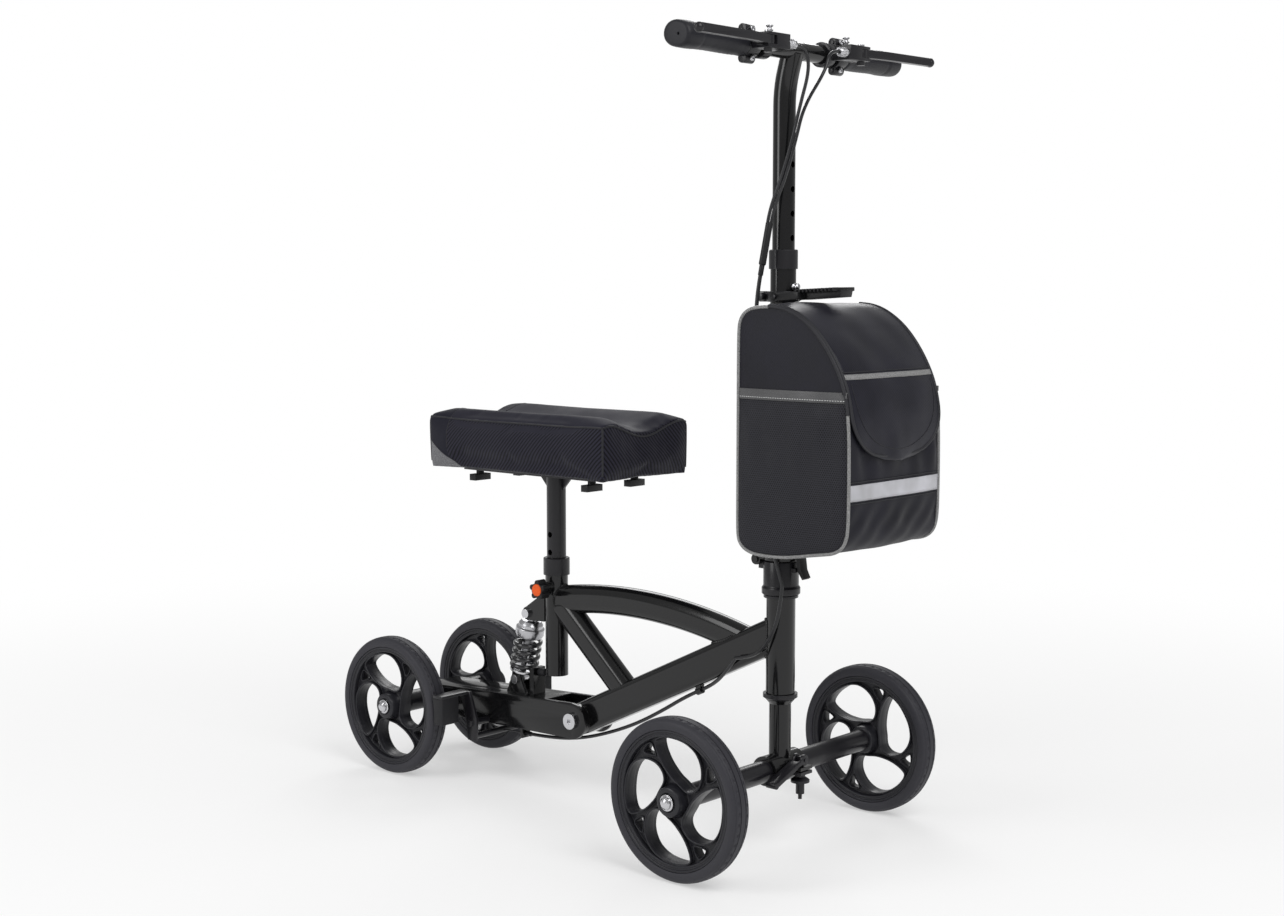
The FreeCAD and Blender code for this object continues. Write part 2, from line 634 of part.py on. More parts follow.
def frame_bolts():
    """The arm's pivot bolt with its nut, and the shock's upper bolt with its nut."""
    across = Vector(0, 1, 0)
    face = ARM_HALF + SIDE_CLEARANCE
    pivot = fused(
        rod(PIVOT_BOLT_DIAMETER, PIVOT - across * (face + 5), PIVOT + across * (face + 6)),
        rod(22, PIVOT - across * (face + 5), PIVOT - across * face),
        rod(20, PIVOT + across * face, PIVOT + across * (face + 6)),
    )
    pivot = pivot.cut(rod(7, PIVOT - across * (face + 6), PIVOT - across * (face + 2)))
    shock = fused(
        rod(SHOCK_BOLT_DIAMETER, SHOCK_UPPER - across * (EAR_OUTER + 5),
            SHOCK_UPPER + across * (EAR_OUTER + 5)),
        rod(13, SHOCK_UPPER - across * (EAR_OUTER + 5), SHOCK_UPPER - across * EAR_OUTER),
        rod(13, SHOCK_UPPER + across * EAR_OUTER, SHOCK_UPPER + across * (EAR_OUTER + 5)),
    )
    return Part.makeCompound([pivot, shock])


# ---- seat ------------------------------------------------------------------------------------

def seat_post():
    top = PAD_BOTTOM - PAD_PLATE_THICKNESS
    start = Vector(-SEAT_SETBACK, 0, POST_BOTTOM)
    solid = pipe(POST_DIAMETER, POST_DIAMETER - 2 * POST_WALL, start, Vector(-SEAT_SETBACK, 0, top))
    for step in range(-POST_HOLES_BELOW, POST_HOLES_ABOVE + 1):
        centre = Vector(-SEAT_SETBACK, 0, SEAT_KNOB_HEIGHT + step * POST_HOLE_PITCH)
        solid = solid.cut(rod(POST_HOLE_DIAMETER, centre - Vector(0, POST_DIAMETER, 0), centre))
    return solid


def pad_bolt_places():
    return [
        Vector(-SEAT_SETBACK + sx * PAD_BOLT_SPACING_X / 2, sy * PAD_BOLT_SPACING_Y / 2, PAD_BOTTOM)
        for sx in (-1, 1) for sy in (-1, 1)
    ]


def pad_plate():
    """The steel plate under the pad, with a gusset before and behind the post."""
    low = PAD_BOTTOM - PAD_PLATE_THICKNESS
    half = PAD_PLATE_LENGTH / 2
    wide = PAD_PLATE_WIDTH / 2
    x = -SEAT_SETBACK
    parts = [block((x - half, x + half), (-wide, wide), (low, PAD_BOTTOM))]
    reach = POST_DIAMETER / 2
    for way in (-1, 1):
        near = x + way * reach
        parts.append(plate_xz([(near, low), (near + way * 22, low), (near, low - 24)], (-2, 2)))
    plate = fused(*parts)
    for place in pad_bolt_places():
        plate = plate.cut(rod(PAD_BOLT_DIAMETER, place - Vector(0, 0, 30), place + Vector(0, 0, 5)))
    return plate


def knee_pad():
    """The padded cushion on its board. Its top is hollowed along its length for the shin."""
    half = PAD_LENGTH / 2
    wide = PAD_WIDTH / 2
    x = -SEAT_SETBACK - half
    top = PAD_BOTTOM + PAD_HEIGHT
    shoulder = wide - 22
    edges = [
        Part.LineSegment(Vector(x, -wide, PAD_BOTTOM), Vector(x, wide, PAD_BOTTOM)).toShape(),
        Part.LineSegment(Vector(x, wide, PAD_BOTTOM), Vector(x, wide, top - 4)).toShape(),
        Part.LineSegment(Vector(x, wide, top - 4), Vector(x, shoulder, top)).toShape(),
        Part.Arc(Vector(x, shoulder, top), Vector(x, 0, top - PAD_VALLEY),
                 Vector(x, -shoulder, top)).toShape(),
        Part.LineSegment(Vector(x, -shoulder, top), Vector(x, -wide, top - 4)).toShape(),
        Part.LineSegment(Vector(x, -wide, top - 4), Vector(x, -wide, PAD_BOTTOM)).toShape(),
    ]
    pad = Part.Face(Part.Wire(edges)).extrude(Vector(PAD_LENGTH, 0, 0))
    for place in pad_bolt_places():
        pad = pad.cut(rod(PAD_BOLT_DIAMETER, place - Vector(0, 0, 1), place + Vector(0, 0, 22)))
    return pad


def pad_bolts():
    """Four bolts with T-shaped hand knobs, which hold the pad on its plate."""
    bolts = []
    low = PAD_BOTTOM - PAD_PLATE_THICKNESS
    for place in pad_bolt_places():
        foot = Vector(place.x, place.y, low)
        shank = rod(PAD_BOLT_DIAMETER, foot, place + Vector(0, 0, 20))
        neck = rod(11, foot - Vector(0, 0, 6), foot)
        bar = block((place.x - 6, place.x + 6), (place.y - 15, place.y + 15), (low - 15, low - 6))
        bolts.append(fused(shank, neck, bar))
    return Part.makeCompound(bolts)




def seat_knob():
    """The five-lobed knob and its screw, whose tip stops at the seat post."""
    centre = Vector(-SEAT_SETBACK, -KNOB_FACE, SEAT_KNOB_HEIGHT)
    front = centre - Vector(0, KNOB_THICKNESS, 0)
    lobe = 8.0
    parts = [rod(SEAT_KNOB_DIAMETER - lobe, front, centre)]
    for n in range(5):
        turn = radians(90 + 72 * n)
        reach = SEAT_KNOB_DIAMETER / 2 - lobe / 2
        shift = Vector(reach * cos(turn), 0, reach * sin(turn))
        parts.append(rod(lobe, front + shift, centre + shift))
    tip = Vector(-SEAT_SETBACK, -POST_DIAMETER / 2 - SIDE_CLEARANCE, SEAT_KNOB_HEIGHT)
    parts.append(rod(8 - 2 * RUNNING_CLEARANCE, front, tip))
    recess = rod(CAP_DIAMETER, front - Vector(0, 1, 0), front + Vector(0, CAP_THICKNESS, 0))
    return fused(*parts).cut(recess)


def seat_knob_cap():
    front = Vector(-SEAT_SETBACK, -KNOB_FACE - KNOB_THICKNESS, SEAT_KNOB_HEIGHT)
    outline = [(0, -CAP_THICKNESS), (CAP_DIAMETER / 2, -CAP_THICKNESS), (CAP_DIAMETER / 2, 0.5),
               (CAP_DIAMETER / 2 - 1.5, 1.5), (0, 1.8)]
    return lathe(outline, front, Vector(0, -1, 0))


# ---- rear arm, shock and brake ---------------------------------------------------------------

def arm_half_height(x):
    """Half the arm's height at a place between its pivot and the rear axle."""
    share = (PIVOT.x - x) / (PIVOT.x - REAR_AXLE.x)
    return ARM_FRONT_RADIUS + share * (ARM_REAR_RADIUS - ARM_FRONT_RADIUS)


def arm_middle(x):
    share = (PIVOT.x - x) / (PIVOT.x - REAR_AXLE.x)
    return PIVOT.z + share * (REAR_AXLE.z - PIVOT.z)


def swingarm():
    """The box-section arm. Its side plates run forward and clasp the frame's pivot boss."""
    outside = link_xz(PIVOT, ARM_FRONT_RADIUS, REAR_AXLE, ARM_REAR_RADIUS, (-ARM_HALF, ARM_HALF))
    hollow = link_xz(PIVOT, ARM_FRONT_RADIUS - ARM_PLATE, REAR_AXLE, ARM_REAR_RADIUS - ARM_PLATE,
                     (-ARM_INNER_HALF, ARM_INNER_HALF))
    slot_end = PIVOT.x - ARM_SLOT_LENGTH
    slot = block((slot_end, PIVOT.x + 60), (-ARM_INNER_HALF, ARM_INNER_HALF), (0, 250))
    axle_sleeve = rod(2 * ARM_REAR_RADIUS, REAR_AXLE - Vector(0, ARM_HALF, 0),
                      REAR_AXLE + Vector(0, ARM_HALF, 0))
    solid = fused(outside.cut(hollow), axle_sleeve).cut(slot)
    # the lower ears of the shock, and the bump stop on the front of them
    ears = []
    eye = SHOCK_EYE_DIAMETER / 2 + 1
    deck = arm_middle(SHOCK_LOWER.x) + arm_half_height(SHOCK_LOWER.x)
    for side in (-1, 1):
        y = sorted((side * EAR_INNER, side * EAR_OUTER))
        ears.append(plate_xz([
            (SHOCK_LOWER.x - 20, deck - 2), (SHOCK_LOWER.x + 20, deck - 2),
            (SHOCK_LOWER.x + eye, SHOCK_LOWER.z), (SHOCK_LOWER.x - eye, SHOCK_LOWER.z),
        ], y))
        ears.append(rod(2 * eye, SHOCK_LOWER + Vector(0, y[0], 0), SHOCK_LOWER + Vector(0, y[1], 0)))
    stop_height = deck + BUMPER_RISE
    stop_x = SHOCK_LOWER.x + BUMPER_SETOUT
    ears.append(block((stop_x - 5, stop_x + 3), (-EAR_OUTER, EAR_OUTER), (deck - 2, stop_height + 6)))
    # the tab that holds the end of the brake cable
    underside = arm_middle(CABLE_TAB_X) - arm_half_height(CABLE_TAB_X)
    ears.append(block((CABLE_TAB_X - 2, CABLE_TAB_X + 2), (-8, 8), (CABLE_END_HEIGHT - 6, underside + 3)))
    solid = fused(solid, *ears)
    holes = [
        rod(PIVOT_BOLT_DIAMETER + 2 * RUNNING_CLEARANCE, PIVOT - Vector(0, 50, 0),
            PIVOT + Vector(0, 50, 0)),
        rod(REAR_AXLE_DIAMETER, REAR_AXLE - Vector(0, 60, 0), REAR_AXLE + Vector(0, 60, 0)),
        rod(SHOCK_BOLT_DIAMETER, SHOCK_LOWER - Vector(0, 30, 0), SHOCK_LOWER + Vector(0, 30, 0)),
        rod(BRAKE_SHAFT_DIAMETER + 2 * RUNNING_CLEARANCE, BRAKE_PIVOT - Vector(0, 50, 0),
            BRAKE_PIVOT + Vector(0, 50, 0)),
        rod(CABLE_END_DIAMETER, Vector(CABLE_TAB_X - 9, 0, CABLE_END_HEIGHT),
            Vector(CABLE_TAB_X + 9, 0, CABLE_END_HEIGHT)),
        rod(BUMPER_DIAMETER - 4, Vector(stop_x - 9, 0, stop_height),
            Vector(stop_x + 9, 0, stop_height)),
    ]
    for hole in holes:
        solid = solid.cut(hole)
    return solid


def arm_bolts():
    """The rear wheels' bolts and the shock's lower bolt, all carried by the arm."""
    across = Vector(0, 1, 0)
    bolt = fused(
        rod(SHOCK_BOLT_DIAMETER, SHOCK_LOWER - across * (EAR_OUTER + 5),
            SHOCK_LOWER + across * (EAR_OUTER + 5)),
        rod(13, SHOCK_LOWER - across * (EAR_OUTER + 5), SHOCK_LOWER - across * EAR_OUTER),
        rod(13, SHOCK_LOWER + across * EAR_OUTER, SHOCK_LOWER + across * (EAR_OUTER + 5)),
    )
    return Part.makeCompound(wheel_bolts(REAR_AXLE, REAR_TRACK).Solids + [bolt])


def bump_stop():
    """The rubber buffer on the arm that meets the seat tube at the end of the shock's travel."""
    height = arm_middle(SHOCK_LOWER.x) + arm_half_height(SHOCK_LOWER.x) + BUMPER_RISE
    start = SHOCK_LOWER.x + BUMPER_SETOUT + 3
    tip = -SEAT_SETBACK - SEAT_TUBE_DIAMETER / 2 - BUMPER_GAP
    outline = [(0, -8), (BUMPER_DIAMETER / 2 - 2, -8), (BUMPER_DIAMETER / 2 - 2, 0),
               (BUMPER_DIAMETER / 2, 0), (BUMPER_DIAMETER / 2, tip - start - 2),
               (BUMPER_DIAMETER / 2 - 2, tip - start), (0, tip - start)]
    return lathe(outline, Vector(start, 0, height), Vector(1, 0, 0))


def on_shock(distance):
    """A place on the shock's line, at a distance below its upper eye."""
    return SHOCK_UPPER + SHOCK_LINE * distance


def eye_ring(centre, bore):
    half = Vector(0, SHOCK_EYE_WIDTH / 2, 0)
    return rod(SHOCK_EYE_DIAMETER, centre - half, centre + half), \
        rod(bore, centre - half * 2, centre + half * 2)


def shock_body():
    """The upper eye, the spring's adjusting head and the damper tube."""
    eye, bore = eye_ring(SHOCK_UPPER, SHOCK_BOLT_DIAMETER + 2 * RUNNING_CLEARANCE)
    neck = rod(13, SHOCK_UPPER, on_shock(SHOCK_HEAD_START + 2))
    radius = SHOCK_HEAD_DIAMETER / 2
    head = lathe([
        (0, SHOCK_HEAD_START), (radius - 7, SHOCK_HEAD_START), (radius - 3, SHOCK_HEAD_START + 5),
        (radius - 3, SHOCK_HEAD_START + 9), (radius, SHOCK_HEAD_START + 11),
        (radius, SHOCK_HEAD_END - 4), (radius - 2, SHOCK_HEAD_END), (0, SHOCK_HEAD_END),
    ], SHOCK_UPPER, SHOCK_LINE)
    damper = rod(DAMPER_DIAMETER, on_shock(SHOCK_HEAD_END - 1), on_shock(DAMPER_END))
    hollow = rod(SHOCK_SHAFT_DIAMETER + 2 * SLIDING_CLEARANCE, on_shock(SHOCK_HEAD_START + 14),
                 on_shock(DAMPER_END + 1))
    return fused(eye, neck, head, damper).cut(bore).cut(hollow)


def shock_shaft():
    """The shaft, the lower spring seat and the lower eye, which has clearance round its bolt."""
    eye, bore = eye_ring(SHOCK_LOWER, SHOCK_BOLT_DIAMETER + 2 * LOOSE_CLEARANCE)
    shaft = rod(SHOCK_SHAFT_DIAMETER, on_shock(SHOCK_HEAD_END + 6), on_shock(SHOCK_LENGTH - 5))
    seat = rod(SPRING_DIAMETER - 3, on_shock(LOWER_SEAT_START - LOWER_SEAT_THICKNESS),
               on_shock(LOWER_SEAT_START))
    return fused(eye, shaft, seat).cut(bore)


def shock_spring():
    """The coil spring round the damper, from the adjusting head to the lower seat."""
    start = SHOCK_HEAD_END + SPRING_WIRE / 2
    end = LOWER_SEAT_START - LOWER_SEAT_THICKNESS - SPRING_WIRE / 2
    radius = (SPRING_DIAMETER - SPRING_WIRE) / 2
    pitch = (end - start) / SPRING_TURNS
    helix = Part.makeHelix(pitch, end - start, radius)
    profile = Part.Wire(Part.Circle(Vector(radius, 0, 0), Vector(0, 1, 0), SPRING_WIRE / 2).toShape())
    coil = Part.Wire(helix.Edges).makePipeShell([profile], True, True)
    coil.Placement = Placement(on_shock(start), Rotation(Vector(0, 0, 1), SHOCK_LINE))
    return coil


def brake_bracket():
    """The bent bracket that swings on its shaft under the arm and carries a shoe for each tyre."""
    across = Vector(0, 1, 0)
    reach = BRAKE_PLATE_SPACING + BRAKE_PLATE_THICKNESS / 2
    inner = BRAKE_PLATE_SPACING - BRAKE_PLATE_THICKNESS / 2
    half = across * (reach + 4)
    shaft = rod(BRAKE_SHAFT_DIAMETER, BRAKE_PIVOT - half, BRAKE_PIVOT + half)
    foot = BRAKE_PIVOT - Vector(0, 0, BRAKE_BAR_DROP)
    bar = rod(BRAKE_BAR_DIAMETER, foot - across * reach, foot + across * reach)
    ledge = BRAKE_SHOE_TOP + BRAKE_PLATE_THICKNESS
    outboard = REAR_TRACK / 2 + TYRE_WIDTH / 2 + 1
    front = REAR_AXLE.x + WHEEL_RADIUS + BRAKE_SHOE_GAP + BRAKE_SHOE_THICKNESS
    parts = [shaft, bar]
    for side in (-1, 1):
        y = sorted((side * inner, side * reach))
        parts.append(plate_xz([
            (BRAKE_PIVOT.x - 7, foot.z - 5), (BRAKE_PIVOT.x + 9, foot.z - 5),
            (BRAKE_PIVOT.x + 11, BRAKE_PIVOT.z + 6), (front + 4, ledge), (front - 18, ledge),
            (BRAKE_PIVOT.x - 11, BRAKE_PIVOT.z + 4),
        ], y))
        y = sorted((side * inner, side * outboard))
        parts.append(block((front - 19, front), y, (BRAKE_SHOE_TOP, ledge)))
    return fused(*parts)


def brake_shoes():
    """The two shoes, each hollowed to the tyre's radius and a little clear of it."""
    front = REAR_AXLE.x + WHEEL_RADIUS + BRAKE_SHOE_GAP + BRAKE_SHOE_THICKNESS
    shoes = []
    for side in (-1, 1):
        centre = REAR_AXLE + Vector(0, side * REAR_TRACK / 2, 0)
        half = TYRE_WIDTH / 2 + 1
        shoe = block((front - BRAKE_SHOE_THICKNESS - 12, front), (centre.y - half, centre.y + half),
                     (BRAKE_SHOE_BOTTOM, BRAKE_SHOE_TOP))
        swept = rod(WHEEL_DIAMETER + 2 * BRAKE_SHOE_GAP, centre - Vector(0, 40, 0),
                    centre + Vector(0, 40, 0))
        shoes.append(max(shoe.cut(swept).Solids, key=lambda s: s.Volume))
    return Part.makeCompound(shoes)


# ---- fork and front axle ---------------------------------------------------------------------

def fork():
    """The steerer and fork tube, with the upper half of the saddle that holds the axle."""
    crown = HEAD_TUBE_BOTTOM - HEADSET_CUP_HEIGHT / 2 - SIDE_CLEARANCE
    steerer_top = FOLD_HEIGHT - 22
    outer = FRONT_AXLE_DIAMETER + 2 * SADDLE_WALL
    half = Vector(0, SADDLE_LENGTH / 2, 0)
    tube = rod(FORK_DIAMETER, FRONT_AXLE, Vector(0, 0, crown - 6))
    cone = Part.makeCone(FORK_DIAMETER / 2, HEADSET_DIAMETER / 2 - 3, 6, Vector(0, 0, crown - 6))
    steerer = rod(STEERER_DIAMETER, Vector(0, 0, crown - 1), Vector(0, 0, steerer_top))
    saddle = rod(outer, FRONT_AXLE - half, FRONT_AXLE + half)
    ear = block((10, CLAMP_BOLT_X + 10), (CLAMP_BOLT_Y - 12, CLAMP_BOLT_Y + 12),
                (AXLE_HEIGHT, AXLE_HEIGHT + 5))
    solid = fused(tube, cone, steerer, saddle, ear)
    below = block((-60, 60), (-60, 60), (0, AXLE_HEIGHT + SPLIT_GAP / 2))
    bolt = Vector(CLAMP_BOLT_X, CLAMP_BOLT_Y, AXLE_HEIGHT)
    solid = solid.cut(below).cut(rod(FRONT_AXLE_DIAMETER, FRONT_AXLE - half * 2, FRONT_AXLE + half * 2))
    return solid.cut(rod(6, bolt - Vector(0, 0, 20), bolt + Vector(0, 0, 20)))


def axle_clamp():
    """The lower half of the saddle, hinged by a rear strap and drawn up by the clamp bolt."""
    outer = FRONT_AXLE_DIAMETER + 2 * SADDLE_WALL
    half = Vector(0, SADDLE_LENGTH / 2, 0)
    jaw = rod(outer, FRONT_AXLE - half, FRONT_AXLE + half)
    ear = block((10, CLAMP_BOLT_X + 10), (CLAMP_BOLT_Y - 12, CLAMP_BOLT_Y + 12),
                (AXLE_HEIGHT - 5, AXLE_HEIGHT))
    above = block((-60, 60), (-60, 60), (AXLE_HEIGHT - SPLIT_GAP / 2, AXLE_HEIGHT + 60))
    jaw = fused(jaw, ear).cut(above)
    jaw = jaw.cut(rod(FRONT_AXLE_DIAMETER, FRONT_AXLE - half * 2, FRONT_AXLE + half * 2))
    bolt_foot = Vector(CLAMP_BOLT_X, CLAMP_BOLT_Y, AXLE_HEIGHT)
    jaw = jaw.cut(rod(6, bolt_foot - Vector(0, 0, 20), bolt_foot + Vector(0, 0, 20)))
    bolt = lathe([
        (0, -38), (2.5, -38), (2.5, -32), (5.5, -31), (5.5, -17), (12, -16), (12, -13), (6.5, -9),
        (6.5, -5), (3, -5), (3, 7), (0, 7),
    ], bolt_foot, Vector(0, 0, 1))
    yoke_low = AXLE_HEIGHT + 5
    yoke = block((CLAMP_BOLT_X - 3.5, CLAMP_BOLT_X + 3.5), (CLAMP_BOLT_Y - 3, CLAMP_BOLT_Y + 3),
                 (yoke_low + 0.5, yoke_low + 12))
    pin = rod(4, Vector(CLAMP_BOLT_X - 9, CLAMP_BOLT_Y, CAM_HEIGHT),
              Vector(CLAMP_BOLT_X + 9, CLAMP_BOLT_Y, CAM_HEIGHT))
    return Part.makeCompound([jaw, fused(bolt, yoke, pin)])


def axle_lever():
    """The cam lever of the axle clamp: two cam discs on the pin, and a flat handle."""
    cam_gap = 3.5 + SIDE_CLEARANCE
    centre = Vector(CLAMP_BOLT_X, CLAMP_BOLT_Y, CAM_HEIGHT)
    parts = []
    for x in ((-cam_gap - 4, -cam_gap), (cam_gap, cam_gap + 4)):
        parts.append(rod(14, centre + Vector(x[0], 0, 0), centre + Vector(x[1], 0, 0)))
    tip = centre + Vector(0, -AXLE_LEVER_LENGTH, -AXLE_LEVER_DROP)
    turn = atan2(AXLE_LEVER_DROP, AXLE_LEVER_LENGTH)
    length = hypot(AXLE_LEVER_LENGTH, AXLE_LEVER_DROP)
    handle = Part.makeBox(2 * (cam_gap + 4), length - 9, 6, Vector(-cam_gap - 4, -length, -3))
    fork_arms = Part.makeBox(2 * (cam_gap + 4), 12, 6, Vector(-cam_gap - 4, -10, -3))
    handle = handle.fuse(fork_arms).cut(Part.makeBox(2 * cam_gap, 24, 20, Vector(-cam_gap, -9, -10)))
    handle.Placement = Placement(centre, Rotation(Vector(1, 0, 0), degrees(turn)))
    parts.append(handle)
    parts.append(rod(8, tip + Vector(-cam_gap - 4, 0, 0), tip + Vector(cam_gap + 4, 0, 0)))
    bore = rod(4 + 2 * RUNNING_CLEARANCE, centre - Vector(20, 0, 0), centre + Vector(20, 0, 0))
    solid = fused(*parts).cut(bore)
    return max(solid.Solids, key=lambda s: s.Volume)


# ---- folding joint and column ----------------------------------------------------------------

def fold_socket():
    """The lower half of the folding joint, clamped on the steerer over the head tube."""
    low = HEAD_TUBE_TOP + 4 + SIDE_CLEARANCE
    radius = FOLD_SOCKET_DIAMETER / 2
    flange = FOLD_FLANGE_DIAMETER / 2
    top = FOLD_HEIGHT - SPLIT_GAP / 2
    body = lathe([
        (0, low), (flange - 1, low), (flange, low + 1), (flange, low + FOLD_FLANGE_THICKNESS - 4),
        (radius, low + FOLD_FLANGE_THICKNESS - 1), (radius, top), (0, top),
    ], Vector(0, 0, 0), Vector(0, 0, 1))
    lug = block((-FOLD_PIN_SETBACK, -10), (-LUG_HALF, LUG_HALF), (FOLD_HEIGHT - 12, top))
    eye = rod(14, FOLD_PIN - Vector(0, LUG_HALF, 0), FOLD_PIN + Vector(0, LUG_HALF, 0))
    catch = block((10, radius + 5), (-7, 7), (top - 12, top - 7))
    solid = fused(body, lug, eye, catch)
    solid = solid.cut(rod(STEERER_DIAMETER, Vector(0, 0, low - 1), Vector(0, 0, FOLD_HEIGHT - 22)))
    return solid.cut(rod(FOLD_PIN_DIAMETER + 2 * RUNNING_CLEARANCE, FOLD_PIN - Vector(0, 30, 0),
                         FOLD_PIN + Vector(0, 30, 0)))


def column_tube():
    """The lower column tube on its knuckle, with the pin of the folding joint."""
    low = FOLD_HEIGHT + SPLIT_GAP / 2
    radius = FOLD_SOCKET_DIAMETER / 2
    inner = LUG_HALF + SIDE_CLEARANCE
    knuckle = lathe([
        (0, low), (radius, low), (radius, low + KNUCKLE_HEIGHT - 3), (radius - 3, low + KNUCKLE_HEIGHT),
        (0, low + KNUCKLE_HEIGHT),
    ], Vector(0, 0, 0), Vector(0, 0, 1))
    parts = [knuckle, rod(COLUMN_DIAMETER, Vector(0, 0, low + 2), Vector(0, 0, COLUMN_TOP))]
    relief = rod(16, FOLD_PIN - Vector(0, inner, 0), FOLD_PIN + Vector(0, inner, 0))
    for side in (-1, 1):
        y = sorted((side * inner, side * (inner + KNUCKLE_EAR)))
        parts.append(plate_xz([
            (-FOLD_PIN_SETBACK - 6, FOLD_HEIGHT + 2), (-FOLD_PIN_SETBACK + 2, FOLD_HEIGHT - 7),
            (-FOLD_PIN_SETBACK + 5, FOLD_HEIGHT + 1), (-8, low), (-8, low + 12),
            (-FOLD_PIN_SETBACK, low + 10),
        ], y))
        parts.append(rod(14, FOLD_PIN + Vector(0, y[0], 0), FOLD_PIN + Vector(0, y[1], 0)))
    pin_half = Vector(0, inner + KNUCKLE_EAR + 2, 0)
    solid = fused(*parts).cut(relief)
    solid = fused(solid, rod(FOLD_PIN_DIAMETER, FOLD_PIN - pin_half, FOLD_PIN + pin_half))
    # ears of the latch lever at the front
    latch_ears = []
    for side in (-1, 1):
        y = sorted((side * 7.3, side * 10.3))
        latch_ears.append(plate_xz([
            (15, low + 1), (LATCH_PIVOT.x + 2, LATCH_PIVOT.z - 4), (LATCH_PIVOT.x + 4, LATCH_PIVOT.z),
            (LATCH_PIVOT.x, LATCH_PIVOT.z + 4.5), (15, low + 14),
        ], y))
    latch_pin = rod(5, LATCH_PIVOT - Vector(0, 11.5, 0), LATCH_PIVOT + Vector(0, 11.5, 0))
    solid = fused(solid, *latch_ears, latch_pin)
    bore = rod(STEM_DIAMETER + 2 * SLIDING_CLEARANCE, Vector(0, 0, low + KNUCKLE_HEIGHT),
               Vector(0, 0, COLUMN_TOP + 1))
    pin_bore = rod(STEM_HOLE_DIAMETER, Vector(0, 0, STEM_PIN_HEIGHT), Vector(40, 0, STEM_PIN_HEIGHT))
    return solid.cut(bore).cut(pin_bore)


def fold_lever():
    """The latch lever that hangs over the front of the folding joint, with an upturned tip."""
    tip = LATCH_PIVOT + Vector(4, 0, -LATCH_LENGTH)
    y = (-7, 7)
    parts = [
        rod(9, LATCH_PIVOT + Vector(0, y[0], 0), LATCH_PIVOT + Vector(0, y[1], 0)),
        plate_xz([
            (LATCH_PIVOT.x - 1, LATCH_PIVOT.z), (LATCH_PIVOT.x + 4.5, LATCH_PIVOT.z),
            (tip.x + 3, tip.z + 8), (tip.x + 8, tip.z - 2), (tip.x + 5, tip.z - 4),
            (tip.x - 2, tip.z + 6),
        ], y),
    ]
    bore = rod(5 + 2 * RUNNING_CLEARANCE, LATCH_PIVOT - Vector(0, 12, 0), LATCH_PIVOT + Vector(0, 12, 0))
    return fused(*parts).cut(bore)


def column_collar():
    """The plastic sleeve over the top of the column tube, with a lip round the stem."""
    inner = COLUMN_DIAMETER / 2
    outer = COLLAR_DIAMETER / 2
    lip = STEM_DIAMETER / 2 + SIDE_CLEARANCE
    top = COLUMN_TOP + 10
    low = top - COLLAR_HEIGHT
    return lathe([
        (inner, low), (outer, low), (outer, top - 1), (outer - 1, top), (lip, top), (lip, COLUMN_TOP),
        (inner, COLUMN_TOP),
    ], Vector(0, 0, 0), Vector(0, 0, 1))


def height_clamp():
    """The band round the column, with a trunnion each side for the lever and a rear bolt."""
    low = CLAMP_HEIGHT - CLAMP_BAND_HEIGHT / 2
    high = CLAMP_HEIGHT + CLAMP_BAND_HEIGHT / 2
    reach = CLAMP_RADIUS + 7
    band = rod(2 * CLAMP_RADIUS, Vector(0, 0, low), Vector(0, 0, high))
    shoulder = Vector(0, CLAMP_RADIUS + 0.5, 0)
    pads = rod(11, CLAMP_PIVOT - shoulder, CLAMP_PIVOT + shoulder)
    trunnions = rod(CLAMP_TRUNNION_DIAMETER, CLAMP_PIVOT - Vector(0, reach, 0),
                    CLAMP_PIVOT + Vector(0, reach, 0))
    ears = block((-CLAMP_RADIUS - 11, -10), (-8, 8), (low, high))
    slit = block((-CLAMP_RADIUS - 20, -10), (-1.5, 1.5), (low - 1, high + 1))
    bolt_x = -CLAMP_RADIUS - 5
    bolt = rod(6, Vector(bolt_x, -17, CLAMP_HEIGHT), Vector(bolt_x, 11, CLAMP_HEIGHT))
    nut = rod(11, Vector(bolt_x, -17, CLAMP_HEIGHT), Vector(bolt_x, -8, CLAMP_HEIGHT))
    solid = fused(band, pads, trunnions, ears).cut(slit)
    solid = solid.cut(rod(COLUMN_DIAMETER, Vector(0, 0, low - 1), Vector(0, 0, high + 1)))
    return fused(solid, bolt, nut)


